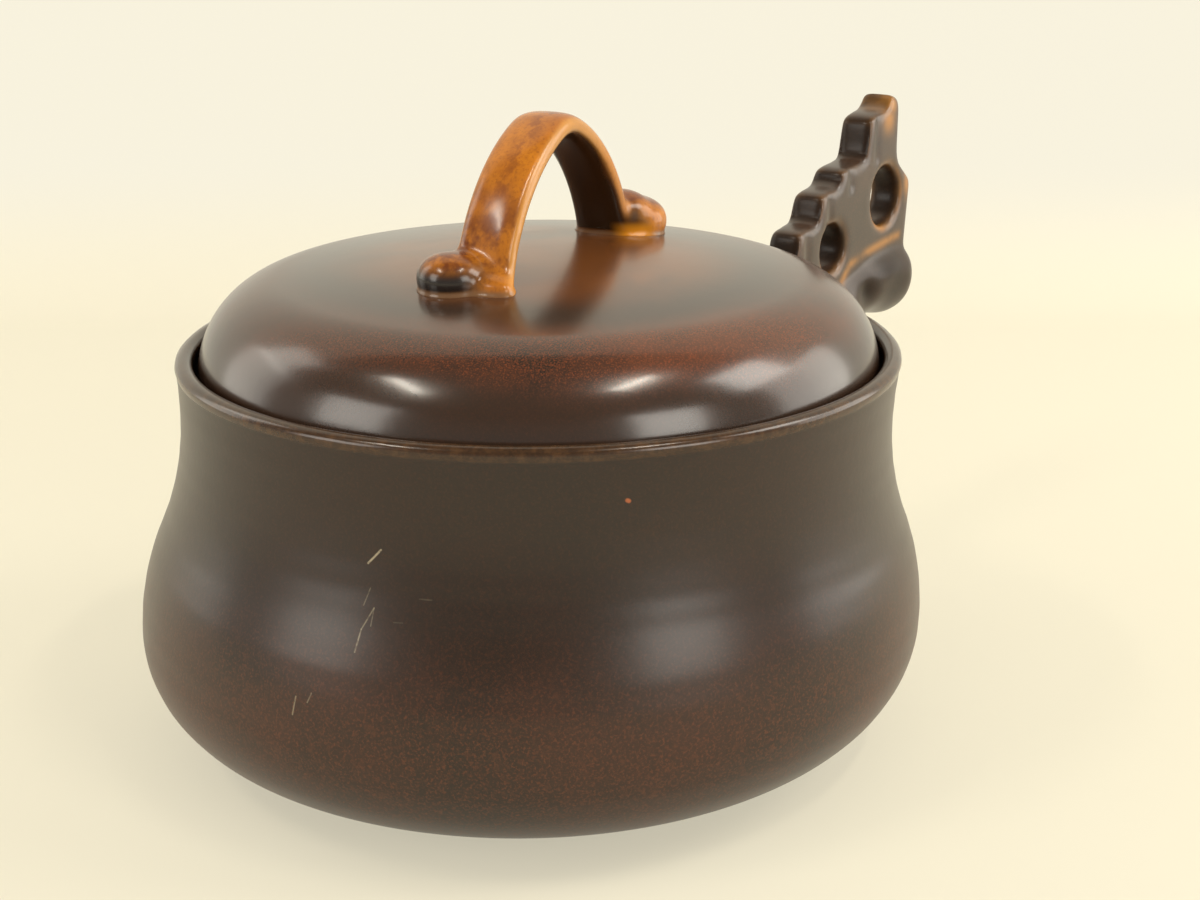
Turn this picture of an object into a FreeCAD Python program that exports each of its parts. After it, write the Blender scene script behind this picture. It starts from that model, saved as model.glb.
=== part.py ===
import FreeCAD, Part
import math
import os
import Sketcher

V = FreeCAD.Vector

# Driving sizes in millimetres and degrees. Heights marked "below rim" hang from the top of the pot.
SIZES = {
    # Pot wall, from the rim down to the foot
    "rim_radius": 95,
    "pot_height": 107,
    "lip_width": 4,
    "neck_radius": 94.1,
    "neck_below_rim": 16.2,
    "neck_share": 0.55,
    "belly_radius": 105.7,
    "belly_height": 34,
    "belly_turn": 28,
    "foot_curve": 28,
    "foot_radius": 66,
    "pot_wall": 5.5,
    # Seat for the lid inside the lip
    "seat_below_rim": 14.5,
    "ledge_radius": 83.5,
    "ledge_thickness": 4,
    "ledge_slope": 6,
    "ledge_round": 1.4,
    # Lid dome
    "lid_gap": 1.6,
    "seat_gap": 0.3,
    "lid_rise": 23.5,
    "crown_radius": 494,
    "shoulder_radius": 24.5,
    "lid_wall": 5,
    "flange_gap": 1.5,
    "flange_depth": 8,
    "flange_thickness": 5,
    "flange_flare": 8,
    "flange_round": 1.6,
    "lid_turn": 10.5,
    # Loop handle on the lid
    "strap_width": 15,
    "strap_thickness": 6.8,
    "strap_corner": 2.6,
    "strap_rise": 33.5,
    "crown_bend": 14,
    "crown_angle": 20,
    "side_bend": 50,
    "leg_angle": 64,
    "foot_bend": 4.5,
    "toe_width": 24,
    "toe_thickness": 13,
    "near_toe_reach": 2,
    "far_toe_reach": 5,
    "loop_shift": 2.4,
    # Side handle: fin with steps and two holes
    "fin_thickness": 12,
    "fin_round": 2,
    "step_1_out": 130,
    "step_1_up": 7.2,
    "step_2_out": 144.4,
    "step_2_up": 17.3,
    "step_3_out": 158.2,
    "step_3_up": 23.7,
    "step_4_out": 175.8,
    "step_4_up": 38.8,
    "tip_out": 196.8,
    "tip_up": 44.4,
    "riser_lean": 3.2,
    "tread_lift": 1.4,
    "spur_out": 207.8,
    "spur_up": 14.2,
    "spur_undercut": 3,
    "step_nose": 3.2,
    "step_hollow": 2,
    "first_foot_below_rim": 2.5,
    "tip_length": 9,
    "tip_round": 4.5,
    "notch_up": 22.4,
    "notch_round": 8,
    "root_below_rim": 10,
    "hole_a_radius": 7.8,
    "hole_a_out": 152.2,
    "hole_a_below_rim": 1.1,
    "hole_b_radius": 10,
    "hole_b_out": 188.5,
    "hole_b_up": 10.8,
    # Thick lower limb of the side handle, ending in a rounded lobe
    "lobe_radius": 11.2,
    "lobe_half_width": 10,
    "lobe_out": 199.8,
    "lobe_below_rim": 18.2,
    "limb_radius": 9,
    "limb_half_width": 8.5,
    "limb_root_below_rim": 45,
    "limb_corner_share": 0.4,
    "limb_knee_out": 160,
    "limb_knee_below_rim": 25,
}


class Term:
    """A value together with the formula that ties it to the sheet of sizes."""

    def __init__(self, value, text=None):
        self.value = value
        self.text = text if text is not None else repr(value)

    def join(self, other, value, sign):
        return Term(value, f"({self.text} {sign} {other.text})")

    def __add__(self, other):
        other = as_term(other)
        return self.join(other, self.value + other.value, "+")

    def __sub__(self, other):
        other = as_term(other)
        return self.join(other, self.value - other.value, "-")

    def __mul__(self, other):
        other = as_term(other)
        return self.join(other, self.value * other.value, "*")

    def __truediv__(self, other):
        other = as_term(other)
        return self.join(other, self.value / other.value, "/")

    def __rsub__(self, other):
        return as_term(other) - self

    __radd__ = __add__
    __rmul__ = __mul__


def as_term(value):
    return value if isinstance(value, Term) else Term(value)


def root(term):
    return Term(math.sqrt(term.value), f"sqrt({term.text})")


def sine(angle):
    return Term(math.sin(math.radians(angle.value)), f"sin({angle.text})")


def cosine(angle):
    return Term(math.cos(math.radians(angle.value)), f"cos({angle.text})")


doc = FreeCAD.newDocument("covered_pan")
sheet = doc.addObject("Spreadsheet::Sheet", "Sizes")
for row, (size_name, size_value) in enumerate(SIZES.items(), start=1):
    sheet.set(f"A{row}", size_name)
    sheet.set(f"B{row}", str(size_value))
    sheet.setAlias(f"B{row}", size_name)
doc.recompute()
size = {name: Term(value, f"Sizes.{name}") for name, value in SIZES.items()}

START = 1
END = 2
CENTRE = 3
ORIGIN = (-1, 1)
UPRIGHT_AXIS = -2


def origin_plane(body, role):
    return next(item for item in body.Origin.OriginFeatures if item.Role == role)


class Outline:
    """A sketch whose lines and arcs are tied to the sheet of sizes."""

    def __init__(self, body, name, role="XZ_Plane"):
        self.sketch = body.newObject("Sketcher::SketchObject", name)
        self.sketch.AttachmentSupport = (origin_plane(body, role), [""])
        self.sketch.MapMode = "FlatFace"

    def line(self, start, end):
        points = [V(as_term(x).value, as_term(y).value, 0) for x, y in (start, end)]
        return self.sketch.addGeometry(Part.LineSegment(*points), False)

    def arc(self, centre, radius, start_angle, end_angle):
        middle = V(as_term(centre[0]).value, as_term(centre[1]).value, 0)
        circle = Part.Circle(middle, V(0, 0, 1), as_term(radius).value)
        turn = [math.radians(angle) for angle in (start_angle, end_angle)]
        return self.sketch.addGeometry(Part.ArcOfCircle(circle, *turn), False)

    def rule(self, kind, *places):
        return self.sketch.addConstraint(Sketcher.Constraint(kind, *places))

    def set_size(self, kind, places, term):
        term = as_term(term)
        index = self.sketch.addConstraint(Sketcher.Constraint(kind, *places, term.value))
        self.sketch.setExpression(f"Constraints[{index}]", term.text)

    def put_x(self, geometry, point, term):
        self.set_size("DistanceX", (*ORIGIN, geometry, point), term)

    def put_y(self, geometry, point, term):
        self.set_size("DistanceY", (*ORIGIN, geometry, point), term)

    def put(self, geometry, point, place):
        self.put_x(geometry, point, place[0])
        self.put_y(geometry, point, place[1])

    def radius(self, geometry, term):
        self.set_size("Radius", (geometry,), term)

    def join(self, first, first_point, second, second_point):
        self.rule("Coincident", first, first_point, second, second_point)

    def smooth(self, first, first_point, second, second_point):
        self.rule("Tangent", first, first_point, second, second_point)

    def level(self, first, first_point, second, second_point):
        self.rule("Horizontal", first, first_point, second, second_point)

    def plumb(self, first, first_point, second, second_point):
        self.rule("Vertical", first, first_point, second, second_point)


def degrees_of(dx, dy):
    return math.degrees(math.atan2(dy, dx))


def new_body(name):
    body = doc.addObject("PartDesign::Body", name)
    body.Label = name
    return body


def revolve(body, outline, name, angle=360, backwards=False):
    feature = body.newObject("PartDesign::Revolution", name)
    feature.Profile = outline.sketch
    feature.ReferenceAxis = (outline.sketch, ["V_Axis"])
    feature.Angle = angle
    feature.Reversed = backwards
    outline.sketch.Visibility = False
    return feature


# Heights shared by the pot, its lid and its handle
rim_height = size["pot_height"]
seat_height = rim_height - size["seat_below_rim"]
lip_radius = size["lip_width"] / 2
lip_inside = size["rim_radius"] - size["lip_width"]
neck_height = rim_height - size["neck_below_rim"]
ledge_bottom = seat_height - size["ledge_thickness"]


def pot_outside(outline):
    """Foot, belly, waist and rounded lip, as a chain of smooth arcs."""
    foot = size["foot_radius"].value
    belly = size["belly_radius"].value
    belly_level = size["belly_height"].value
    turn = size["belly_turn"].value
    bend = size["foot_curve"].value
    neck = size["neck_radius"].value
    neck_level = neck_height.value
    lip = lip_radius.value
    lip_centre = (size["rim_radius"].value - lip, rim_height.value - lip)

    base = outline.line((0, 0), (foot, 0))
    foot_centre = V(foot, bend, 0)
    turn_centre = V(belly - turn, belly_level, 0)
    between = turn_centre - foot_centre
    low_angle = degrees_of(between.x, between.y) - math.degrees(math.acos((bend - turn) / between.Length))
    low_side = V(math.cos(math.radians(low_angle)), math.sin(math.radians(low_angle)), 0)
    foot_arc = outline.arc((foot, bend), bend, -90, low_angle)
    slope_ends = [centre + low_side * radius for centre, radius in ((foot_centre, bend), (turn_centre, turn))]
    slope = outline.line(*[(point.x, point.y) for point in slope_ends])
    turn_arc = outline.arc((turn_centre.x, turn_centre.y), turn, low_angle, 0)

    reach = ((belly - neck) ** 2 + (neck_level - belly_level) ** 2) / (2 * (belly - neck))
    neck_bend = reach * size["neck_share"].value
    belly_bend = reach - neck_bend
    sway = degrees_of(neck + neck_bend - belly + belly_bend, neck_level - belly_level)
    belly_arc = outline.arc((belly - belly_bend, belly_level), belly_bend, 0, sway)
    neck_arc = outline.arc((neck + neck_bend, neck_level), neck_bend, 180, 180 + sway)

    crease = (lip_centre[0] + lip * math.sqrt(0.5), lip_centre[1] - lip * math.sqrt(0.5))
    climb = crease[1] - neck_level
    flare = ((crease[0] - neck) ** 2 + climb**2) / (2 * (crease[0] - neck))
    flare_arc = outline.arc(
        (neck + flare, neck_level), flare, degrees_of(crease[0] - neck - flare, climb), 180
    )
    lip_arc = outline.arc(lip_centre, lip, -45, 180)

    outline.join(base, START, *ORIGIN)
    outline.rule("Horizontal", base)
    outline.put_x(base, END, size["foot_radius"])
    outline.smooth(base, END, foot_arc, START)
    outline.radius(foot_arc, size["foot_curve"])
    outline.smooth(foot_arc, END, slope, START)
    outline.smooth(slope, END, turn_arc, START)
    outline.put(turn_arc, CENTRE, (size["belly_radius"] - size["belly_turn"], size["belly_height"]))
    outline.radius(turn_arc, size["belly_turn"])
    outline.level(turn_arc, CENTRE, turn_arc, END)
    outline.smooth(turn_arc, END, belly_arc, START)
    outline.smooth(belly_arc, END, neck_arc, END)
    outline.put(neck_arc, START, (size["neck_radius"], neck_height))
    outline.level(neck_arc, START, neck_arc, CENTRE)
    swell = size["belly_radius"] - size["neck_radius"]
    drop = neck_height - size["belly_height"]
    outline.radius(neck_arc, size["neck_share"] * (swell * swell + drop * drop) / (swell * 2))
    outline.smooth(neck_arc, START, flare_arc, END)
    outline.join(flare_arc, START, lip_arc, START)
    outline.put(lip_arc, CENTRE, (size["rim_radius"] - lip_radius, rim_height - lip_radius))
    outline.radius(lip_arc, lip_radius)
    outline.put_y(lip_arc, START, rim_height - lip_radius * (1 + math.sqrt(0.5)))
    outline.level(lip_arc, CENTRE, lip_arc, END)
    return {
        "base": base, "foot": foot_arc, "turn": turn_arc, "belly": belly_arc, "neck": neck_arc,
        "lip": lip_arc, "foot_centre": foot_centre, "turn_centre": turn_centre, "low_side": low_side,
        "belly_centre": (belly - belly_bend, belly_level), "neck_centre": (neck + neck_bend, neck_level),
        "low_angle": low_angle, "sway": sway,
    }


def make_pot_blank():
    """The pot's outside as a full solid, used to trim what is joined to its wall."""
    body = new_body("pot_blank")
    outline = Outline(body, "pot_blank_outline")
    parts = pot_outside(outline)
    lip_end = (lip_inside.value, (rim_height - lip_radius).value)
    lid_level = outline.line(lip_end, (0, lip_end[1]))
    axis = outline.line((0, lip_end[1]), (0, 0))
    outline.join(parts["lip"], END, lid_level, START)
    outline.rule("Horizontal", lid_level)
    outline.rule("PointOnObject", lid_level, END, UPRIGHT_AXIS)
    outline.join(lid_level, END, axis, START)
    outline.join(axis, END, *ORIGIN)
    revolve(body, outline, "pot_blank_turned")
    return body


def make_pot_body():
    """The thrown pot: outside, lip, ledge that carries the lid, and an even wall inside."""
    body = new_body("pot_body")
    outline = Outline(body, "pot_outline")
    parts = pot_outside(outline)
    wall = size["pot_wall"].value
    foot_centre = parts["foot_centre"]
    turn_centre = parts["turn_centre"]
    belly_centre = parts["belly_centre"]
    neck_centre = parts["neck_centre"]
    turn_inside = size["belly_turn"].value - wall
    foot_inside = size["foot_curve"].value - wall
    belly_inside = size["belly_radius"].value - wall - belly_centre[0]
    neck_inside = neck_centre[0] - size["neck_radius"].value + wall
    under = ledge_bottom - size["ledge_slope"]
    slope_angle = 180 + math.degrees(math.asin((neck_centre[1] - under.value) / neck_inside))
    slope_end = (neck_centre[0] + neck_inside * math.cos(math.radians(slope_angle)), under)

    lip_wall = outline.line((lip_inside, rim_height - lip_radius), (lip_inside, seat_height))
    ledge = outline.line((lip_inside, seat_height), (size["ledge_radius"], seat_height))
    nose = outline.line((size["ledge_radius"], seat_height), (size["ledge_radius"], ledge_bottom))
    slope = outline.line((size["ledge_radius"], ledge_bottom), slope_end)
    neck_in = outline.arc(neck_centre, neck_inside, slope_angle, 180 + parts["sway"])
    belly_in = outline.arc(belly_centre, belly_inside, 0, parts["sway"])
    turn_in = outline.arc((turn_centre.x, turn_centre.y), turn_inside, parts["low_angle"], 0)
    slope_ends = [
        centre + parts["low_side"] * radius
        for centre, radius in ((turn_centre, turn_inside), (foot_centre, foot_inside))
    ]
    slope_in = outline.line(*[(point.x, point.y) for point in slope_ends])
    foot_in = outline.arc((foot_centre.x, foot_centre.y), foot_inside, -90, parts["low_angle"])
    floor = outline.line((foot_centre.x, wall), (0, wall))
    axis = outline.line((0, wall), (0, 0))

    outline.join(parts["lip"], END, lip_wall, START)
    outline.rule("Vertical", lip_wall)
    outline.put_y(lip_wall, END, seat_height)
    outline.join(lip_wall, END, ledge, START)
    outline.rule("Horizontal", ledge)
    outline.put_x(ledge, END, size["ledge_radius"])
    outline.join(ledge, END, nose, START)
    outline.rule("Vertical", nose)
    outline.put_y(nose, END, ledge_bottom)
    outline.join(nose, END, slope, START)
    outline.put_y(slope, END, under)
    outline.join(slope, END, neck_in, START)
    outline.join(neck_in, CENTRE, parts["neck"], CENTRE)
    outline.smooth(neck_in, END, belly_in, END)
    outline.join(belly_in, CENTRE, parts["belly"], CENTRE)
    outline.level(belly_in, CENTRE, belly_in, START)
    outline.put_x(belly_in, START, size["belly_radius"] - size["pot_wall"])
    outline.join(belly_in, START, turn_in, END)
    outline.join(turn_in, CENTRE, parts["turn"], CENTRE)
    outline.smooth(turn_in, START, slope_in, START)
    outline.smooth(slope_in, END, foot_in, END)
    outline.join(foot_in, CENTRE, parts["foot"], CENTRE)
    outline.plumb(foot_in, CENTRE, foot_in, START)
    outline.join(foot_in, START, floor, START)
    outline.put_y(floor, START, size["pot_wall"])
    outline.rule("Horizontal", floor)
    outline.rule("PointOnObject", floor, END, UPRIGHT_AXIS)
    outline.join(floor, END, axis, START)
    outline.join(axis, END, *ORIGIN)
    turned = revolve(body, outline, "pot_turned")
    doc.recompute()
    soften(body, turned, "pot_seat_edges", size["ledge_round"], [
        (size["ledge_radius"], seat_height), (size["ledge_radius"], ledge_bottom),
    ])
    return body


def soften(body, feature, name, radius, rings):
    """Round the ring edges that pass through the given radius and height."""
    names = []
    for index, edge in enumerate(feature.Shape.Edges, start=1):
        box = edge.BoundBox
        for ring, height in rings:
            if abs(box.XMax - as_term(ring).value) < 0.01 and abs(box.ZMax - as_term(height).value) < 0.01 \
                    and box.ZLength < 0.01:
                names.append(f"Edge{index}")
    fillet = body.newObject("PartDesign::Fillet", name)
    fillet.Base = (feature, names)
    fillet.Radius = radius.value
    fillet.setExpression("Radius", radius.text)
    return fillet


def make_lid_blank():
    """The dome as a full solid down to its seat, used to trim the handle that stands on it."""
    body = new_body("lid_blank")
    outline = Outline(body, "lid_blank_outline")
    parts = lid_outside(outline)
    bottom = outline.line(parts["seat_edge"], (0, lid_seat))
    axis = outline.line((0, lid_seat), (0, lid_top))
    outline.join(parts["shoulder"], START, bottom, START)
    outline.rule("Horizontal", bottom)
    outline.rule("PointOnObject", bottom, END, UPRIGHT_AXIS)
    outline.join(bottom, END, axis, START)
    outline.join(axis, END, parts["crown"], END)
    revolve(body, outline, "lid_blank_turned")
    return body


def lid_outside(outline):
    """A wide crown arc that runs smoothly into a tight shoulder arc, down to the seat."""
    top = lid_top.value
    crown_radius = size["crown_radius"].value
    shoulder_radius = size["shoulder_radius"].value
    shoulder_out = lid_radius.value - shoulder_radius
    fall = math.sqrt((crown_radius - shoulder_radius) ** 2 - shoulder_out**2)
    shoulder_centre = (shoulder_out, top - crown_radius + fall)
    meet = degrees_of(shoulder_out, fall)
    seat_angle = -math.degrees(math.asin((shoulder_centre[1] - lid_seat.value) / shoulder_radius))
    crown = outline.arc((0, top - crown_radius), crown_radius, meet, 90)
    shoulder = outline.arc(shoulder_centre, shoulder_radius, seat_angle, meet)
    outline.rule("PointOnObject", crown, CENTRE, UPRIGHT_AXIS)
    outline.rule("PointOnObject", crown, END, UPRIGHT_AXIS)
    outline.put_y(crown, END, lid_top)
    outline.radius(crown, size["crown_radius"])
    outline.smooth(crown, START, shoulder, END)
    outline.put_x(shoulder, CENTRE, lid_radius - size["shoulder_radius"])
    outline.radius(shoulder, size["shoulder_radius"])
    outline.put_y(shoulder, START, lid_seat)
    turn = math.radians(seat_angle)
    seat_edge = (shoulder_out + shoulder_radius * math.cos(turn), lid_seat.value)
    return {
        "crown": crown, "shoulder": shoulder, "seat_edge": seat_edge, "centre": shoulder_centre, "meet": meet,
    }


def make_lid_shell():
    """The domed lid: one even wall, a seat that rests on the ledge and a flange that centres it."""
    body = new_body("lid_shell")
    outline = Outline(body, "lid_outline")
    parts = lid_outside(outline)
    crown = parts["crown"]
    shoulder = parts["shoulder"]
    wall = size["lid_wall"].value
    flange_outside = size["ledge_radius"] - size["flange_gap"]
    flange_inside = flange_outside - size["flange_thickness"]
    flange_bottom = lid_seat - size["flange_depth"]
    inner_radius = size["shoulder_radius"].value - wall
    flare = math.radians(size["flange_flare"].value)
    centre = parts["centre"]
    hip = (centre[0] + inner_radius * math.cos(flare), centre[1] + inner_radius * math.sin(flare))

    seat = outline.line(parts["seat_edge"], (flange_outside, lid_seat))
    flange = outline.line((flange_outside, lid_seat), (flange_outside, flange_bottom))
    edge = outline.line((flange_outside, flange_bottom), (flange_inside, flange_bottom))
    inside = outline.line((flange_inside, flange_bottom), (flange_inside, lid_seat))
    hollow = outline.line((flange_inside, lid_seat), hip)
    shoulder_in = outline.arc(centre, inner_radius, math.degrees(flare), parts["meet"])
    top = lid_top.value
    crown_radius = size["crown_radius"].value
    crown_in = outline.arc((0, top - crown_radius), crown_radius - wall, parts["meet"], 90)
    axis = outline.line((0, top - wall), (0, top))

    outline.join(shoulder, START, seat, START)
    outline.rule("Horizontal", seat)
    outline.put_x(seat, END, flange_outside)
    outline.join(seat, END, flange, START)
    outline.rule("Vertical", flange)
    outline.put_y(flange, END, flange_bottom)
    outline.join(flange, END, edge, START)
    outline.rule("Horizontal", edge)
    outline.put_x(edge, END, flange_inside)
    outline.join(edge, END, inside, START)
    outline.rule("Vertical", inside)
    outline.level(inside, END, seat, END)
    outline.join(inside, END, hollow, START)
    outline.join(hollow, END, shoulder_in, START)
    outline.join(shoulder_in, CENTRE, shoulder, CENTRE)
    rise = sine(size["flange_flare"]) * (size["shoulder_radius"] - size["lid_wall"])
    outline.set_size("DistanceY", (shoulder_in, CENTRE, shoulder_in, START), rise)
    outline.smooth(shoulder_in, END, crown_in, START)
    outline.join(crown_in, CENTRE, crown, CENTRE)
    outline.rule("PointOnObject", crown_in, END, UPRIGHT_AXIS)
    outline.put_y(crown_in, END, lid_top - size["lid_wall"])
    outline.join(crown_in, END, axis, START)
    outline.join(axis, END, crown, END)
    turned = revolve(body, outline, "lid_turned")
    doc.recompute()
    soften(body, turned, "lid_flange_edges", size["flange_round"], [
        (flange_outside, flange_bottom), (flange_inside, flange_bottom),
    ])
    return body


class Station:
    """A place on a path in the upright middle plane: its position, tilt and section size."""

    def __init__(self, out, height, tilt, width, thickness):
        self.out = out
        self.height = height
        self.tilt = tilt
        self.width = width
        self.thickness = thickness


def place_on(sketch, station, side):
    """Set a section square to its path, on the +X side or mirrored to the -X side."""
    out = station.out * side
    tilt = station.tilt * side
    turn = FreeCAD.Rotation(V(1, 0, 0), tilt.value)
    sketch.AttachmentOffset = FreeCAD.Placement(V(0, station.height.value, out.value), turn)
    sketch.setExpression("AttachmentOffset.Base.y", station.height.text)
    sketch.setExpression("AttachmentOffset.Base.z", out.text)
    sketch.setExpression("AttachmentOffset.Rotation.Angle", tilt.text)


def oval_arcs(station, corner_share):
    """Radii of the upper and the side arc of a smooth oval, and the angle where they meet."""
    flat = station.width.value >= station.thickness.value
    long, short = (station.width, station.thickness) if flat else (station.thickness, station.width)
    corner = short * corner_share
    arm = long / 2 - corner
    face = (arm * arm + short * short / 4 - corner * corner) / (short - corner * 2)
    upper, side = (face, corner) if flat else (corner, face)
    rise = upper.value - station.thickness.value / 2
    run = station.width.value / 2 - side.value
    meet = degrees_of(run, rise) if flat else degrees_of(-run, -rise)
    return upper, side, meet


def strap_section(body, name, station, corner_share, side=1):
    """A flat oval of four smooth arcs, the cross-section of a pressed clay strap."""
    outline = Outline(body, name, "YZ_Plane")
    place_on(outline.sketch, station, side)
    upper_radius, side_radius, meet = oval_arcs(station, corner_share)
    arm = station.width / 2 - side_radius
    reach = station.thickness / 2 - upper_radius
    right = outline.arc((arm, 0), side_radius, -meet, meet)
    upper = outline.arc((0, reach), upper_radius, meet, 180 - meet)
    left = outline.arc((arm * -1, 0), side_radius, 180 - meet, 180 + meet)
    lower = outline.arc((0, reach * -1), upper_radius, 180 + meet, 360 - meet)
    outline.smooth(right, END, upper, START)
    outline.smooth(upper, END, left, START)
    outline.smooth(left, END, lower, START)
    outline.smooth(lower, END, right, START)
    outline.put_x(right, CENTRE, arm)
    outline.rule("PointOnObject", right, CENTRE, -1)
    outline.rule("Symmetric", left, CENTRE, right, CENTRE, *ORIGIN)
    outline.radius(right, side_radius)
    outline.rule("Equal", right, left)
    outline.radius(upper, upper_radius)
    outline.rule("Equal", upper, lower)
    outline.sketch.Visibility = False
    return outline


def round_end(body, name, station, corner_share, side=1):
    """The rounded end of a strap: half of its last section, turned about the upright."""
    outline = Outline(body, f"{name}_outline", "YZ_Plane")
    place_on(outline.sketch, station, side)
    upper_radius, side_radius, meet = oval_arcs(station, corner_share)
    arm = station.width / 2 - side_radius
    reach = station.thickness / 2 - upper_radius
    half = station.thickness / 2
    lower = outline.arc((0, reach * -1), upper_radius, -90, -meet)
    right = outline.arc((arm, 0), side_radius, -meet, meet)
    upper = outline.arc((0, reach), upper_radius, meet, 90)
    middle = outline.line((0, half), (0, half * -1))
    outline.smooth(lower, END, right, START)
    outline.smooth(right, END, upper, START)
    outline.put_x(right, CENTRE, arm)
    outline.rule("PointOnObject", right, CENTRE, -1)
    outline.radius(right, side_radius)
    outline.radius(upper, upper_radius)
    outline.rule("Equal", upper, lower)
    outline.rule("PointOnObject", upper, CENTRE, UPRIGHT_AXIS)
    outline.rule("PointOnObject", lower, CENTRE, UPRIGHT_AXIS)
    outline.rule("PointOnObject", upper, END, UPRIGHT_AXIS)
    outline.rule("PointOnObject", lower, START, UPRIGHT_AXIS)
    outline.join(upper, END, middle, START)
    outline.join(middle, END, lower, START)
    return revolve(body, outline, name, 180, backwards=side > 0)


def loft(body, name, outlines):
    feature = body.newObject("PartDesign::AdditiveLoft", name)
    feature.Profile = outlines[0].sketch
    feature.Sections = [outline.sketch for outline in outlines[1:]]
    feature.Ruled = False
    return feature


def handle_stations():
    """Stations from the top of the loop down one leg and out through the flare to the toe."""
    thickness = size["strap_thickness"]
    middle_top = lid_top + size["strap_rise"]
    crown_out = size["crown_bend"] * sine(size["crown_angle"])
    crown_drop = size["crown_bend"] * (1 - cosine(size["crown_angle"]))

    def on_crown(share):
        tilt = size["crown_angle"] * share
        out = size["crown_bend"] * sine(tilt)
        drop = size["crown_bend"] * (1 - cosine(tilt))
        return Station(out, middle_top - drop, tilt, size["strap_width"], thickness)

    def on_side(share):
        tilt = size["crown_angle"] + (size["leg_angle"] - size["crown_angle"]) * share
        out = crown_out + size["side_bend"] * (sine(tilt) - sine(size["crown_angle"]))
        drop = crown_drop + size["side_bend"] * (cosine(size["crown_angle"]) - cosine(tilt))
        return Station(out, middle_top - drop, tilt, size["strap_width"], thickness)

    leg_end = on_side(1)
    flare_reach = size["foot_bend"] + thickness / 2
    flare_out = leg_end.out + flare_reach * sine(size["leg_angle"])
    flare_height = leg_end.height + flare_reach * cosine(size["leg_angle"])

    def on_flare(share):
        tilt = size["leg_angle"] * (1 - share)
        growth = thickness + (size["toe_thickness"] - thickness) * (share * share)
        width = size["strap_width"] + (size["toe_width"] - size["strap_width"]) * share
        reach = size["foot_bend"] + growth / 2
        out = flare_out - reach * sine(tilt)
        return Station(out, flare_height - reach * cosine(tilt), tilt, width, growth)

    stations = [on_crown(0), on_crown(0.5), on_crown(1), on_side(1 / 3), on_side(2 / 3), leg_end]
    return stations + [on_flare(1 / 3), on_flare(2 / 3), on_flare(1)]


def toe_end(toe, reach):
    return Station(toe.out + reach, toe.height, toe.tilt, toe.width, toe.thickness)


def make_lid_handle(blank):
    """An arched strap with a rounded toe at each foot, trimmed to the dome it stands on."""
    body = new_body("loop_with_toes")
    share = size["strap_corner"] / size["strap_thickness"]
    stations = handle_stations()
    near = stations[1:] + [toe_end(stations[-1], size["near_toe_reach"])]
    far = stations[1:] + [toe_end(stations[-1], size["far_toe_reach"])]
    outlines = []
    for number, station in reversed(list(enumerate(near, start=1))):
        outlines.append(strap_section(body, f"strap_near_{number}", station, share, -1))
    outlines.append(strap_section(body, "strap_top", stations[0], share))
    for number, station in enumerate(far, start=1):
        outlines.append(strap_section(body, f"strap_far_{number}", station, share))
    doc.recompute()
    loft(body, "strap", outlines)
    round_end(body, "toe_far", far[-1], share)
    round_end(body, "toe_near", near[-1], share, -1)
    body.Placement = FreeCAD.Placement(V(0, -size["loop_shift"].value, 0), FreeCAD.Rotation())
    body.setExpression("Placement.Base.y", (size["loop_shift"] * -1).text)
    cut = doc.addObject("Part::Cut", "lid_handle")
    cut.Base = body
    cut.Tool = blank
    cut.Label = "lid_handle"
    return cut


def corner_cut(before, corner, after, radius):
    """Tangent points, centre and sweep of an arc that rounds one corner of an outline."""
    first = V(before[0] - corner[0], before[1] - corner[1], 0).normalize()
    second = V(after[0] - corner[0], after[1] - corner[1], 0).normalize()
    half = first.getAngle(second) / 2
    reach = radius / math.tan(half)
    place = V(corner[0], corner[1], 0)
    middle = place + (first + second).normalize() * (radius / math.sin(half))
    entry = place + first * reach
    leave = place + second * reach
    angles = [degrees_of(point.x - middle.x, point.y - middle.y) for point in (entry, leave)]
    turns_left = first.cross(second).z < 0
    return entry, leave, middle, angles if turns_left else angles[::-1], turns_left


def rounded_outline(outline, corners):
    """A closed outline of straight runs with a rounded corner at each place that has a radius."""
    places = [(x.value, y.value) for x, y, _ in corners]
    cuts = []
    for number, (x, y, radius) in enumerate(corners):
        before = places[number - 1]
        after = places[(number + 1) % len(places)]
        if radius is None:
            point = V(*places[number], 0)
            cuts.append((point, point, None, None, None))
        else:
            cuts.append(corner_cut(before, places[number], after, radius.value))
    lines = []
    for number, cut in enumerate(cuts):
        following = cuts[(number + 1) % len(cuts)]
        lines.append(outline.line((cut[1].x, cut[1].y), (following[0].x, following[0].y)))
    for number, (x, y, radius) in enumerate(corners):
        arriving = lines[number - 1]
        leaving = lines[number]
        if radius is None:
            outline.join(arriving, END, leaving, START)
            outline.put(leaving, START, (x, y))
            continue
        _, _, middle, angles, turns_left = cuts[number]
        arc = outline.arc((middle.x, middle.y), radius, *angles)
        entry, leave = (START, END) if turns_left else (END, START)
        outline.smooth(arriving, END, arc, entry)
        outline.smooth(arc, leave, leaving, START)
        outline.radius(arc, radius)
        corner = outline.sketch.addGeometry(Part.Point(V(x.value, y.value, 0)), True)
        outline.put(corner, START, (x, y))
        outline.rule("PointOnObject", corner, START, arriving)
        outline.rule("PointOnObject", corner, START, leaving)


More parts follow.
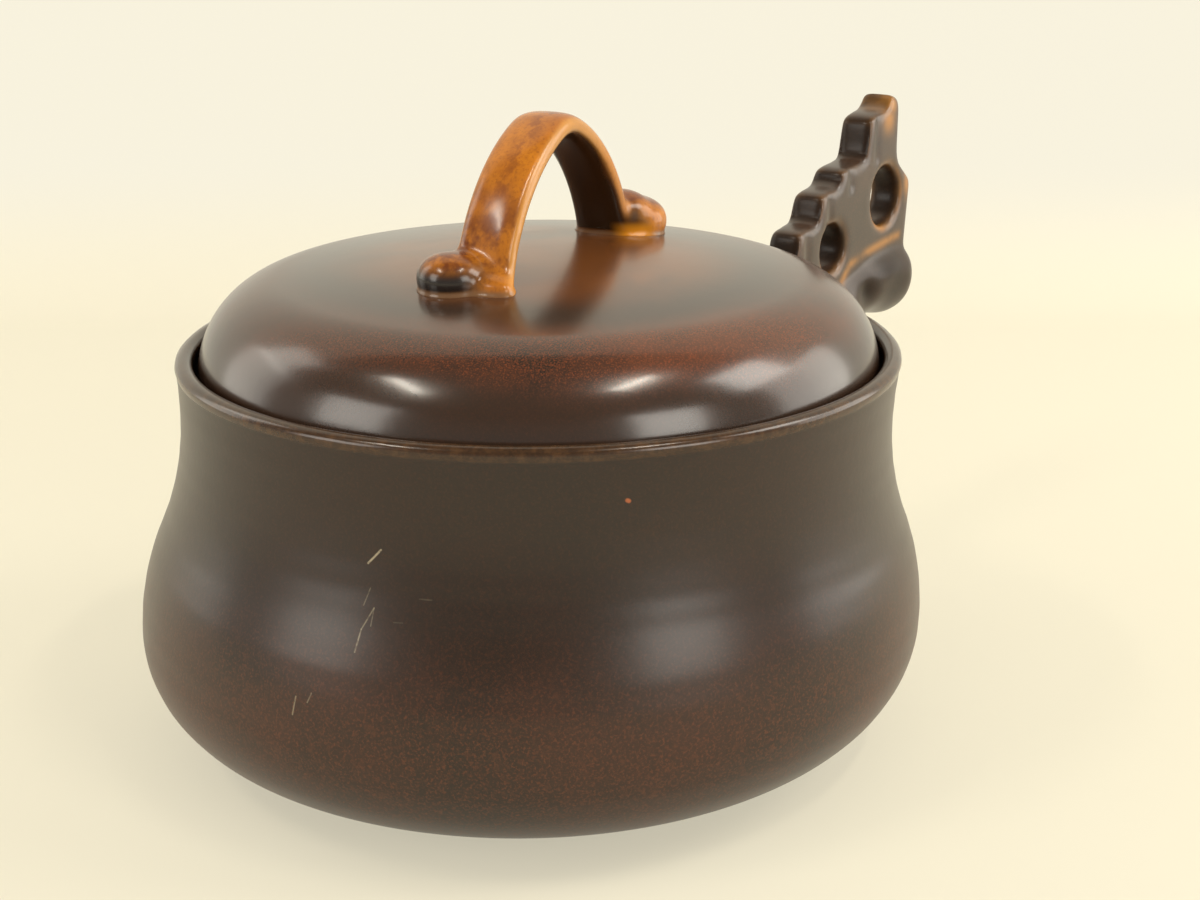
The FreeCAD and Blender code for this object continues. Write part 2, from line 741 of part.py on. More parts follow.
def fin_corners():
    """The fin's outline: up the steps to the tip, down the end, out to the spur, back inside the limb."""
    nose = size["step_nose"]
    hollow = size["step_hollow"]
    inside_wall = size["neck_radius"] - size["pot_wall"] / 2
    corners = [(inside_wall, rim_height - size["root_below_rim"], None)]
    foot_height = rim_height - size["first_foot_below_rim"]
    for number in range(1, 5):
        step_out = size[f"step_{number}_out"]
        step_height = rim_height + size[f"step_{number}_up"]
        corners.append((step_out - size["riser_lean"], foot_height, hollow))
        corners.append((step_out, step_height, nose))
        foot_height = step_height + size["tread_lift"]
    tip_height = rim_height + size["tip_up"]
    corners.append((size["tip_out"] - size["tip_length"] - size["riser_lean"], foot_height, hollow))
    corners.append((size["tip_out"] - size["tip_length"], tip_height, nose))
    corners.append((size["tip_out"], tip_height, size["tip_round"]))
    corners.append((size["tip_out"], rim_height + size["notch_up"], size["notch_round"]))
    corners.append((size["spur_out"], rim_height + size["spur_up"], nose))
    corners.append((size["spur_out"] - size["spur_undercut"], lobe_height + size["lobe_radius"] / 2, None))
    corners.append((size["lobe_out"], lobe_height, None))
    corners.append((size["limb_knee_out"], rim_height - size["limb_knee_below_rim"], None))
    corners.append((inside_wall, rim_height - size["limb_root_below_rim"], None))
    return corners


def side_edges(shape, half_thickness):
    """Names of the edges that lie in either flat side of the fin."""
    names = []
    for index, edge in enumerate(shape.Edges, start=1):
        box = edge.BoundBox
        flat = box.YLength < 0.001
        if flat and abs(abs(box.YMax) - half_thickness) < 0.001:
            names.append(f"Edge{index}")
    return names


def make_pot_handle(blank):
    """A pierced, stepped fin on a thick lower limb that ends in a rounded lobe."""
    body = new_body("fin_and_limb")
    outline = Outline(body, "fin_outline")
    rounded_outline(outline, fin_corners())
    fin = body.newObject("PartDesign::Pad", "fin")
    fin.Profile = outline.sketch
    fin.SideType = "Symmetric"
    fin.Length = size["fin_thickness"].value
    fin.setExpression("Length", size["fin_thickness"].text)
    holes = Outline(body, "fin_holes")
    centres = {
        "hole_a": (size["hole_a_out"], rim_height - size["hole_a_below_rim"]),
        "hole_b": (size["hole_b_out"], rim_height + size["hole_b_up"]),
    }
    for name, centre in centres.items():
        middle = V(centre[0].value, centre[1].value, 0)
        radius = size[f"{name}_radius"]
        circle = holes.sketch.addGeometry(Part.Circle(middle, V(0, 0, 1), radius.value), False)
        holes.put(circle, CENTRE, centre)
        holes.radius(circle, radius)
    doc.recompute()
    pierced = body.newObject("PartDesign::Pocket", "fin_pierced")
    pierced.Profile = holes.sketch
    pierced.Type = "ThroughAll"
    pierced.SideType = "Symmetric"
    doc.recompute()
    rounded = body.newObject("PartDesign::Fillet", "fin_rounded")
    rounded.Base = (pierced, side_edges(pierced.Shape, size["fin_thickness"].value / 2))
    rounded.Radius = size["fin_round"].value
    rounded.setExpression("Radius", size["fin_round"].text)
    doc.recompute()
    make_limb(body)
    cut = doc.addObject("Part::Cut", "pot_handle")
    cut.Base = body
    cut.Tool = blank
    cut.Label = "pot_handle"
    return cut


def make_limb(body):
    """The lower limb swells from the pot's wall to the lobe at its end."""
    share = size["limb_corner_share"]
    knee_height = rim_height - size["limb_knee_below_rim"]
    root_height = rim_height - size["limb_root_below_rim"]
    root_out = size["neck_radius"] - size["pot_wall"]
    lean = Term(math.degrees(math.atan2(
        (root_height - knee_height).value, (size["limb_knee_out"] - root_out).value)),
        f"atan2({(root_height - knee_height).text}; {(size['limb_knee_out'] - root_out).text})")
    slim = (size["limb_half_width"] * 2, size["limb_radius"] * 2)
    full = (size["lobe_half_width"] * 2, size["lobe_radius"] * 2)
    lobe_end = size["lobe_out"] + size["lobe_radius"] - size["lobe_half_width"]
    stations = [
        Station(root_out, root_height, lean, *slim),
        Station((root_out + size["limb_knee_out"]) / 2, (root_height + knee_height) / 2, lean, *slim),
        Station((size["limb_knee_out"] + lobe_end) / 2, lobe_height, Term(0), *full),
        Station(lobe_end, lobe_height, Term(0), *full),
    ]
    sections = []
    for number, station in enumerate(stations, start=1):
        sections.append(strap_section(body, f"limb_section_{number}", station, share))
    doc.recompute()
    loft(body, "limb", sections)
    round_end(body, "lobe", stations[-1], share)


lid_seat = seat_height + size["seat_gap"]
lid_top = rim_height + size["lid_rise"]
lid_radius = lip_inside - size["lid_gap"]
lobe_height = rim_height - size["lobe_below_rim"]

pot_blank = make_pot_blank()
lid_blank = make_lid_blank()
pieces = {
    "pot_body": make_pot_body(),
    "pot_handle": make_pot_handle(pot_blank),
    "lid_shell": make_lid_shell(),
    "lid_handle": make_lid_handle(lid_blank),
}
lid_rotation = FreeCAD.Rotation(V(0, 0, 1), size["lid_turn"].value)
for name in ("lid_shell", "lid_handle"):
    pieces[name].Placement = FreeCAD.Placement(V(0, 0, 0), lid_rotation)
    pieces[name].setExpression("Placement.Rotation.Angle", size["lid_turn"].text)
doc.recompute()

for item in doc.Objects:
    if any(word in item.State for word in ("Invalid", "Error")):
        raise RuntimeError(f"{item.Name} did not build: {item.State}")
    if item.TypeId == "Sketcher::SketchObject" and not item.FullyConstrained:
        raise RuntimeError(f"{item.Name} leaves a size open")

os.makedirs("parts", exist_ok=True)
for name, piece in pieces.items():
    shape = piece.Shape
    if shape.isNull() or not shape.isValid() or len(shape.Solids) != 1:
        raise RuntimeError(f"{name} isn't one valid solid")
    shape.exportStep(f"parts/{name}.step")
    box = shape.optimalBoundingBox(False, False)
    print(f"{name}: {shape.Volume / 1000:.1f} cm3,", [round(value, 1) for value in (
        box.XMin, box.XMax, box.YMin, box.YMax, box.ZMin, box.ZMax)])
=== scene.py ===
import math

import bpy
import bmesh
import numpy as np
from mathutils import Matrix, Quaternion, Vector


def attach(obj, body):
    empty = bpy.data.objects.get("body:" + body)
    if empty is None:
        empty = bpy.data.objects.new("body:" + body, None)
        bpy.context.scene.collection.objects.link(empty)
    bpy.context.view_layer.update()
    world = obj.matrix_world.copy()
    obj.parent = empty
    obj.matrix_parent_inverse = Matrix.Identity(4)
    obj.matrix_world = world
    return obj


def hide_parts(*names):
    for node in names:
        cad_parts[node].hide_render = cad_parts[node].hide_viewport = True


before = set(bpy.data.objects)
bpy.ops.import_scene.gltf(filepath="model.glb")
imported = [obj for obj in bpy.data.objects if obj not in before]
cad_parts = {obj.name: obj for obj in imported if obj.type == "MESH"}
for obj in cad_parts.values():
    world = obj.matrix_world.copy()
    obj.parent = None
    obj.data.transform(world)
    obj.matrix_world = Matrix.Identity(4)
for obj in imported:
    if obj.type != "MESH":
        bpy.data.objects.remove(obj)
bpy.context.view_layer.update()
print("frame loaded:", sorted(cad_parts))

mm = 0.001
mergeGap = 0.004 * mm  # points closer than this are one point
cadMergeGap = 0.002 * mm


def gridMesh(name, points, loopU=False, loopV=False):
    # A grid of points (rows, columns, 3) in mm becomes quads between neighbours;
    # loopU and loopV join the last row or column to the first.
    rows, cols = points.shape[:2]
    i = np.arange(rows if loopU else rows - 1)[:, None]
    j = np.arange(cols if loopV else cols - 1)[None, :]
    i2, j2 = (i + 1) % rows, (j + 1) % cols
    quads = np.stack([i * cols + j, i2 * cols + j, i2 * cols + j2, i * cols + j2], axis=-1)
    mesh = bpy.data.meshes.new(name)
    mesh.from_pydata((points.reshape(-1, 3) * mm).tolist(), [], quads.reshape(-1, 4).tolist())
    return mesh


def addPiece(name, mesh, material, body, replaced):
    # Merges doubles so that poles and seams close, shades it smooth and hands it to the frame.
    work = bmesh.new()
    work.from_mesh(mesh)
    bmesh.ops.remove_doubles(work, verts=work.verts, dist=mergeGap)
    bmesh.ops.recalc_face_normals(work, faces=work.faces)
    work.to_mesh(mesh)
    work.free()
    mesh.shade_smooth()
    piece = bpy.data.objects.new(name, mesh)
    bpy.context.scene.collection.objects.link(piece)
    mesh.materials.append(material)
    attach(piece, body)
    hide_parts(replaced)
    return piece


def setAttribute(mesh, name, values):
    layer = mesh.attributes.new(name, "FLOAT", "POINT")
    layer.data.foreach_set("value", np.asarray(values, dtype=np.float32))


def readVectors(mesh, field):
    flat = np.empty(len(mesh.vertices) * 3)
    mesh.vertices.foreach_get(field, flat)
    return flat.reshape(-1, 3)


def placeVertices(mesh, points):
    mesh.vertices.foreach_set("co", (points * mm).ravel())
    mesh.update()


def smoothStep(low, high, x):
    t = np.clip((x - low) / (high - low), 0, 1)
    return t * t * (3 - 2 * t)


def traceProfile(parts, spacing):
    # Walks along arcs (centre, two half axes, start and end angle in degrees) and straight
    # runs (two points), and returns points in (radius, height) about one spacing apart.
    points = []
    for part in parts:
        if part[0] == "arc":
            _, cr, cz, wide, tall, start, end = part
            count = max(5, int(abs(math.radians(end - start)) * max(wide, tall) / spacing))
            angle = np.radians(np.linspace(start, end, count))
            run = np.column_stack([cr + wide * np.cos(angle), cz + tall * np.sin(angle)])
        else:
            _, r0, z0, r1, z1 = part
            count = max(3, int(math.hypot(r1 - r0, z1 - z0) / spacing))
            t = np.linspace(0, 1, count)[:, None]
            run = np.array([[r0, z0]]) * (1 - t) + np.array([[r1, z1]]) * t
        points.append(run if not points else run[1:])
    return np.vstack(points)


def turnProfile(name, profile, shape):
    # Each profile point goes round the Z axis. Its radius swells and shrinks by a fine spiral
    # of throwing marks and by a slow wobble, both faded to nothing near the axis. Below the
    # rim the whole wall leans to one side, in proportion to the depth.
    angle = np.arange(shape["steps"])[:, None] / shape["steps"] * 2 * math.pi
    radius, height = profile[:, 0][None, :], profile[:, 1][None, :]
    fade = smoothStep(20, 60, radius)
    marks = np.sin(2 * math.pi * height / shape["markPitch"] + angle)
    marks = marks * (0.6 + 0.4 * np.sin(height * 0.31 + 3 * angle))
    wobble = np.sin(2 * angle + 0.7) + 0.5 * np.sin(3 * angle + height * 0.03 + 2.0)
    swollen = radius + fade * (shape["markDepth"] * marks + shape["wobble"] * wobble)
    drift = np.maximum(shape["rim"] - height, 0) * math.tan(math.radians(shape["lean"]))
    toward = math.radians(shape["leanToward"])
    points = np.stack([swollen * np.cos(angle) + drift * math.cos(toward),
                       swollen * np.sin(angle) + drift * math.sin(toward),
                       height + 0 * angle], axis=-1)
    return gridMesh(name, points, loopU=True)


def fromSrgb(r, g, b):
    values = []
    for channel in (r, g, b):
        c = channel / 255
        values.append(c / 12.92 if c <= 0.04045 else ((c + 0.055) / 1.055) ** 2.4)
    return (*values, 1.0)


class NodeWriter:
    # A short way to add nodes to a tree and wire them by socket name.
    def __init__(self, tree):
        self.tree = tree

    def feed(self, socket, value):
        if isinstance(value, bpy.types.NodeSocket):
            self.tree.links.new(value, socket)
        else:
            socket.default_value = value

    def add(self, kind, links=None, **settings):
        node = self.tree.nodes.new(kind)
        for key, value in settings.items():
            setattr(node, key, value)
        for socket, value in (links or {}).items():
            self.feed(node.inputs[socket], value)
        return node

    def math(self, operation, a, b=0.0, c=0.0, clamp=False):
        node = self.add("ShaderNodeMath", {0: a, 1: b, 2: c}, operation=operation, use_clamp=clamp)
        return node.outputs[0]

    def vector(self, operation, a, b=None, output="Vector"):
        links = {0: a} if b is None else {0: a, 1: b}
        return self.add("ShaderNodeVectorMath", links, operation=operation).outputs[output]

    def remap(self, value, low, high, outLow=0.0, outHigh=1.0):
        node = self.add("ShaderNodeMapRange", {"Value": value, "From Min": low, "From Max": high,
                                               "To Min": outLow, "To Max": outHigh})
        node.interpolation_type = "SMOOTHSTEP"
        return node.outputs["Result"]

    def noise(self, vector, scale, detail=4.0, roughness=0.55, distortion=0.0):
        links = {"Vector": vector, "Scale": scale, "Detail": detail, "Roughness": roughness,
                 "Distortion": distortion}
        return self.add("ShaderNodeTexNoise", links).outputs["Fac"]

    def mix(self, factor, a, b):
        node = self.add("ShaderNodeMix", data_type="RGBA", blend_type="MIX")
        for index, value in ((0, factor), (6, a), (7, b)):
            self.feed(node.inputs[index], value)
        return node.outputs[2]


def makeGroup(name, inputs, outputs):
    group = bpy.data.node_groups.new(name, "ShaderNodeTree")
    for socket, kind, default in inputs:
        made = group.interface.new_socket(socket, in_out="INPUT", socket_type=kind)
        if default is not None:
            made.default_value = default
    for socket, kind in outputs:
        group.interface.new_socket(socket, in_out="OUTPUT", socket_type=kind)
    given = group.nodes.new("NodeGroupInput").outputs
    out = group.nodes.new("NodeGroupOutput").inputs
    return group, NodeWriter(group), given, out


def makeGlazeGroup():
    # A dark ground that breaks to rust in soft clouds and in fine specks.
    group, w, given, out = makeGroup(
        "ironGlaze",
        [("Vector", "NodeSocketVector", None), ("Ground", "NodeSocketColor", (0.02, 0.015, 0.01, 1)),
         ("Cloud", "NodeSocketColor", (0.06, 0.03, 0.02, 1)),
         ("Speck", "NodeSocketColor", (0.2, 0.07, 0.03, 1)),
         ("Cloud Amount", "NodeSocketFloat", 0.5), ("Speck Amount", "NodeSocketFloat", 0.5),
         ("Cloud Scale", "NodeSocketFloat", 14.0), ("Speck Scale", "NodeSocketFloat", 900.0)],
        [("Color", "NodeSocketColor"), ("Mask", "NodeSocketFloat")])
    cloudNoise = w.noise(given["Vector"], given["Cloud Scale"], 5.0, 0.6, 0.4)
    cloud = w.math("MULTIPLY", w.remap(cloudNoise, 0.32, 0.7), given["Cloud Amount"], clamp=True)
    fine = w.noise(given["Vector"], given["Speck Scale"], 2.0, 0.6)
    coarse = w.noise(given["Vector"], w.math("MULTIPLY", given["Speck Scale"], 0.4), 3.0, 0.6)
    coarseSpeck = w.math("MULTIPLY", w.remap(coarse, 0.5, 0.78), 0.6)
    speck = w.math("MAXIMUM", w.remap(fine, 0.44, 0.76), coarseSpeck)
    speck = w.math("MULTIPLY", speck, given["Speck Amount"], clamp=True)
    colour = w.mix(cloud, given["Ground"], given["Cloud"])
    colour = w.mix(speck, colour, given["Speck"])
    w.feed(out["Color"], colour)
    w.feed(out["Mask"], w.math("MAXIMUM", cloud, speck))
    return group


def makeSkinGroup():
    # The slight orange peel of fired glaze, over wider soft ripples.
    group, w, given, out = makeGroup(
        "glazeSkin",
        [("Vector", "NodeSocketVector", None), ("Peel", "NodeSocketFloat", 0.5),
         ("Ripple", "NodeSocketFloat", 1.0)],
        [("Height", "NodeSocketFloat")])
    peel = w.math("MULTIPLY", w.noise(given["Vector"], 420.0, 2.0), given["Peel"])
    ripple = w.math("MULTIPLY", w.noise(given["Vector"], 55.0, 2.0), given["Ripple"])
    w.feed(out["Height"], w.math("ADD", peel, ripple))
    return group


def makeScratchGroup():
    # One short scratch: the distance from the straight run between two places, measured
    # across the wall only, so that it follows the curve of the pot.
    group, w, given, out = makeGroup(
        "glazeScratch",
        [("Vector", "NodeSocketVector", None), ("Start", "NodeSocketVector", None),
         ("End", "NodeSocketVector", None), ("Width", "NodeSocketFloat", 0.0003)],
        [("Mask", "NodeSocketFloat")])
    run = w.vector("SUBTRACT", given["End"], given["Start"])
    offset = w.vector("SUBTRACT", given["Vector"], given["Start"])
    share = w.math("DIVIDE", w.vector("DOT_PRODUCT", offset, run, "Value"),
                   w.vector("DOT_PRODUCT", run, run, "Value"), clamp=True)
    along = w.add("ShaderNodeVectorMath", {0: run, "Scale": share}, operation="SCALE").outputs["Vector"]
    left = w.vector("SUBTRACT", offset, along)
    flat = w.vector("MULTIPLY", given["Start"], (1.0, 1.0, 0.0))
    across = w.vector("LENGTH", w.vector("CROSS_PRODUCT", w.vector("NORMALIZE", flat), left), output="Value")
    depth = w.vector("LENGTH", left, output="Value")
    near = w.remap(depth, 0.004, 0.008, 1.0, 0.0)
    thin = w.remap(across, w.math("MULTIPLY", given["Width"], 0.3), given["Width"], 1.0, 0.0)
    w.feed(out["Mask"], w.math("MULTIPLY", thin, near))
    return group


glazeGroup = makeGlazeGroup()
skinGroup = makeSkinGroup()
scratchGroup = makeScratchGroup()


def startMaterial(name):
    material = bpy.data.materials.new(name)
    material.use_nodes = True
    tree = material.node_tree
    tree.nodes.clear()
    writer = NodeWriter(tree)
    shader = writer.add("ShaderNodeBsdfPrincipled")
    output = writer.add("ShaderNodeOutputMaterial")
    tree.links.new(shader.outputs[0], output.inputs["Surface"])
    place = writer.add("ShaderNodeTexCoord").outputs["Object"]
    return material, writer, shader, place


def glazeColour(writer, place, look, cloudAmount, speckAmount):
    node = writer.add("ShaderNodeGroup", node_tree=glazeGroup)
    settings = {"Vector": place, "Ground": look["ground"], "Cloud": look["cloud"], "Speck": look["speck"],
                "Cloud Amount": cloudAmount, "Speck Amount": speckAmount,
                "Cloud Scale": look["cloudScale"], "Speck Scale": look["speckScale"]}
    for socket, value in settings.items():
        writer.feed(node.inputs[socket], value)
    return node


def glazeRoughness(writer, glaze, look):
    return writer.math("MULTIPLY_ADD", glaze.outputs["Mask"], look["roughSpread"], look["roughness"])


def finishGlaze(writer, shader, place, colour, roughness, look):
    skin = writer.add("ShaderNodeGroup", node_tree=skinGroup)
    for socket, value in {"Vector": place, "Peel": look["peel"], "Ripple": look["ripple"]}.items():
        writer.feed(skin.inputs[socket], value)
    writer.feed(shader.inputs["Base Color"], colour)
    writer.feed(shader.inputs["Roughness"], roughness)
    shader.inputs["Specular IOR Level"].default_value = look["specular"]
    shader.inputs["Coat Weight"].default_value = look["coat"]
    shader.inputs["Coat Roughness"].default_value = look["coatRoughness"]
    bump = writer.add("ShaderNodeBump", {"Height": skin.outputs["Height"], "Strength": look["bump"],
                                         "Distance": 0.0002})
    writer.feed(shader.inputs["Normal"], bump.outputs["Normal"])


potLook = {
    "ground": fromSrgb(34, 24, 16), "cloud": fromSrgb(60, 32, 18), "speck": fromSrgb(104, 55, 28),
    "lip": fromSrgb(96, 66, 38), "lipHeight": 0.1034, "lipFade": 0.0006, "lipRoughness": 0.2,
    "lipWear": (0.12, 0.42), "lipWearScale": 420.0,
    "cloudScale": 16.0, "speckScale": 1500.0, "peel": 0.5, "ripple": 1.2,
    "roughness": 0.34, "roughSpread": 0.08, "coat": 0.12, "coatRoughness": 0.22,
    "bump": 0.25, "specular": 0.42, "rustHeights": (0.012, 0.034, 0.068), "rustUneven": 0.02,
    "clouds": (0.7, 0.15), "specks": (0.4, 0.12),  # share added by rust, share everywhere
    "scratchColour": fromSrgb(150, 138, 115), "fleckColour": fromSrgb(150, 82, 46),
}

# Places in mm of the scratches and of one pale fleck: start, end, width, strength.
potScratches = [
    ((-93.2, -21.0, 77.9), (-91.9, -23.9, 81.3), 0.34, 0.9),
    ((-94.1, -22.2, 72.4), (-95.5, -21.2, 68.5), 0.22, 0.25),
    ((-94.9, -23.8, 68.2), (-97.1, -21.7, 63.3), 0.26, 0.4),
    ((-97.1, -21.7, 63.3), (-99.4, -21.4, 58.4), 0.28, 0.6),
    ((-94.9, -23.8, 68.2), (-96.3, -23.8, 64.3), 0.22, 0.3),
    ((-90.7, -33.8, 71.3), (-89.6, -36.4, 71.3), 0.24, 0.12),
    ((-94.1, -28.9, 65.7), (-93.4, -30.9, 65.8), 0.22, 0.1),
    ((-105.3, -8.1, 46.1), (-106.1, -7.5, 41.7), 0.28, 0.5),
    ((-104.5, -12.3, 47.7), (-105.0, -11.4, 45.4), 0.26, 0.45),
]
potFleck = ((-62.1, -70.4, 93.9), (-61.8, -70.6, 93.7), 0.7)


def scratchMask(writer, place, start, end, width):
    node = writer.add("ShaderNodeGroup", node_tree=scratchGroup)
    settings = {"Vector": place, "Start": Vector(start) * mm, "End": Vector(end) * mm, "Width": width * mm}
    for socket, value in settings.items():
        writer.feed(node.inputs[socket], value)
    return node.outputs["Mask"]


def makePotMaterial(look):
    # Rust in a band low on the belly, worn scratches and one fleck, and a glossier, paler lip.
    material, w, shader, place = startMaterial("brownPotGlaze")
    height = w.add("ShaderNodeSeparateXYZ", {"Vector": place}).outputs["Z"]
    low, middle, high = look["rustHeights"]
    uneven = w.math("MULTIPLY_ADD", w.noise(place, 9.0, 2.0), look["rustUneven"], -look["rustUneven"] / 2)
    level = w.math("ADD", height, uneven)
    band = w.math("MULTIPLY", w.remap(level, 0.0, low), w.remap(level, middle, high, 1.0, 0.0))
    glaze = glazeColour(w, place, look, w.math("MULTIPLY_ADD", band, *look["clouds"]),
                        w.math("MULTIPLY_ADD", band, *look["specks"]))
    colour = glaze.outputs["Color"]
    broken = w.remap(w.noise(place, 900.0, 2.0), 0.3, 0.55, 0.35, 1.0)
    for start, end, width, strength in potScratches:
        mask = w.math("MULTIPLY", scratchMask(w, place, start, end, width), broken)
        colour = w.mix(w.math("MULTIPLY", mask, strength), colour, look["scratchColour"])
    colour = w.mix(scratchMask(w, place, *potFleck), colour, look["fleckColour"])
    lip = w.remap(height, look["lipHeight"], look["lipHeight"] + look["lipFade"])
    worn = w.remap(w.noise(place, look["lipWearScale"], 4.0, 0.7), 0.4, 0.68, *look["lipWear"])
    colour = w.mix(w.math("MULTIPLY", lip, worn), colour, look["lip"])
    wall = glazeRoughness(w, glaze, look)
    roughness = w.math("MULTIPLY_ADD", lip, w.math("SUBTRACT", look["lipRoughness"], wall), wall)
    finishGlaze(w, shader, place, colour, roughness, look)
    return material


lidLook = {
    "ground": fromSrgb(44, 33, 25), "cloud": fromSrgb(84, 47, 27), "speck": fromSrgb(138, 66, 30),
    "amber": fromSrgb(102, 58, 24), "crownFade": (0.03, 0.058), "crownUneven": 0.016,
    "shoulderFrom": (0.058, 0.07), "shoulderTo": (0.08, 0.087), "rustToward": 232.0,
    "clouds": (0.75, 0.15), "specks": (0.48, 0.06),  # share added by rust, share everywhere
    "cloudScale": 18.0, "speckScale": 2300.0, "peel": 0.45, "ripple": 1.0,
    "roughness": 0.22, "roughSpread": 0.06, "coat": 0.25, "coatRoughness": 0.14,
    "bump": 0.2, "specular": 0.5,
}


def makeLidMaterial(look):
    # Amber where the glaze lies thick round the loop's feet, then a darker ring, then a
    # rusty shoulder that is strongest on the side named by its heading.
    material, w, shader, place = startMaterial("brownLidGlaze")
    radius = w.vector("LENGTH", w.vector("MULTIPLY", place, (1.0, 1.0, 0.0)), output="Value")
    uneven = w.math("MULTIPLY_ADD", w.noise(place, 12.0, 2.0), look["crownUneven"], -look["crownUneven"] / 2)
    radius = w.math("ADD", radius, uneven)
    crown = w.remap(radius, *look["crownFade"], 1.0, 0.0)
    shoulder = w.math("MULTIPLY", w.remap(radius, *look["shoulderFrom"]),
                      w.remap(radius, *look["shoulderTo"], 1.0, 0.0))
    toward = math.radians(look["rustToward"])
    rustSide = (math.cos(toward), math.sin(toward), 0.0)
    heading = w.vector("DOT_PRODUCT", w.vector("NORMALIZE", place), rustSide, "Value")
    rust = w.math("MULTIPLY", shoulder, w.remap(heading, 0.1, 0.55, 0.35, 1.0))
    clouds = w.math("MULTIPLY_ADD", w.math("MAXIMUM", crown, rust), *look["clouds"])
    glaze = glazeColour(w, place, look, clouds, w.math("MULTIPLY_ADD", rust, *look["specks"]))
    clouded = w.remap(w.noise(place, 26.0, 3.0, 0.6, 0.5), 0.38, 0.62, 0.25, 1.0)
    colour = w.mix(w.math("MULTIPLY", crown, clouded), glaze.outputs["Color"], look["amber"])
    finishGlaze(w, shader, place, colour, glazeRoughness(w, glaze, look), look)
    return material


loopLook = {
    "ground": fromSrgb(180, 110, 24), "cloud": fromSrgb(128, 66, 18), "speck": fromSrgb(88, 46, 20),
    # brown is painted shade for the low front of the near knob; under is painted shade inside the loop.
    "streak": fromSrgb(112, 56, 20), "rust": fromSrgb(88, 40, 18), "brown": fromSrgb(34, 27, 24),
    "joint": fromSrgb(104, 76, 52), "amber": fromSrgb(200, 128, 26), "edge": fromSrgb(180, 128, 60),
    "under": fromSrgb(40, 24, 12), "edgeShare": 0.75, "streakShare": 0.7,
    "mottleScale": 230.0, "patchScale": 130.0, "upright": 0.45,
    "cloudScale": 70.0, "speckScale": 1300.0, "peel": 0.4, "ripple": 1.2,
    "roughness": 0.2, "roughSpread": 0.05, "coat": 0.0, "coatRoughness": 0.12,
    "bump": 0.2, "specular": 0.45,
}


def readMask(writer, name):
    return writer.add("ShaderNodeAttribute", attribute_name=name).outputs["Fac"]


def makeLoopMaterial(look):
    # Amber that runs downwards in streaks. Where each other colour goes is read from the masks.
    # The dark brown low on the near knob and the dark inside of the loop are painted shade.
    material, w, shader, place = startMaterial("amberLoopGlaze")
    stretch = {"Vector": place, "Scale": (1.0, 1.0, look["upright"])}
    streaked = w.add("ShaderNodeMapping", stretch).outputs["Vector"]
    glaze = glazeColour(w, streaked, look, 0.6, 0.4)
    mottled = w.remap(w.noise(streaked, look["mottleScale"], 4.0, 0.65), 0.4, 0.6, 0.15, 1.0)
    streak = w.math("MULTIPLY", readMask(w, "streak"), w.math("MULTIPLY", mottled, look["streakShare"]))
    colour = w.mix(streak, glaze.outputs["Color"], look["streak"])
    colour = w.mix(w.math("MULTIPLY", readMask(w, "sideEdge"), look["edgeShare"]), colour, look["edge"])
    patchy = w.remap(w.noise(place, look["patchScale"], 4.0, 0.6), 0.34, 0.56, 0.3, 1.0)
    colour = w.mix(w.math("MULTIPLY", readMask(w, "footRust"), patchy), colour, look["rust"])
    colour = w.mix(w.math("MULTIPLY", readMask(w, "farBrown"), patchy), colour, look["streak"])
    for mask, part in (("toeShade", "brown"), ("jointLine", "joint"), ("underShade", "under"),
                       ("glazePool", "amber")):
        colour = w.mix(readMask(w, mask), colour, look[part])
    finishGlaze(w, shader, place, colour, glazeRoughness(w, glaze, look), look)
    return material


sideLook = {
    "ground": fromSrgb(44, 33, 26), "cloud": fromSrgb(74, 52, 38), "speck": fromSrgb(104, 68, 44),
    "break": fromSrgb(164, 110, 42), "deep": fromSrgb(20, 14, 10), "deepShare": 0.8, "deepDull": 0.85,
    "patchScale": 80.0, "cloudScale": 40.0, "speckScale": 1300.0, "peel": 0.4, "ripple": 0.8,
    "roughness": 0.3, "roughSpread": 0.06, "coat": 0.15, "coatRoughness": 0.2,
    "bump": 0.15, "specular": 0.5,
}


def makeSideMaterial(look):
    # Brown that breaks to gold on the edges, and is dark and dull on the risers and in the hollow.
    material, w, shader, place = startMaterial("brownHandleGlaze")
    glaze = glazeColour(w, place, look, 0.4, 0.2)
    patchy = w.remap(w.noise(place, look["patchScale"], 3.0), 0.3, 0.6, 0.25, 1.0)
    worn = w.math("MULTIPLY", readMask(w, "edgeBreak"), patchy, clamp=True)
    colour = w.mix(worn, glaze.outputs["Color"], look["break"])
    shade = readMask(w, "deepShade")
    colour = w.mix(w.math("MULTIPLY", shade, look["deepShare"]), colour, look["deep"])
    finishGlaze(w, shader, place, colour, glazeRoughness(w, glaze, look), look)
    dull = w.math("MULTIPLY_ADD", shade, -look["deepDull"] * look["specular"], look["specular"])
    w.feed(shader.inputs["Specular IOR Level"], dull)
    w.feed(shader.inputs["Coat Weight"], w.math("MULTIPLY_ADD", shade, -look["coat"], look["coat"]))
    return material


potMaterial = makePotMaterial(potLook)
lidMaterial = makeLidMaterial(lidLook)
loopMaterial = makeLoopMaterial(loopLook)
sideMaterial = makeSideMaterial(sideLook)
print("glazes ready")


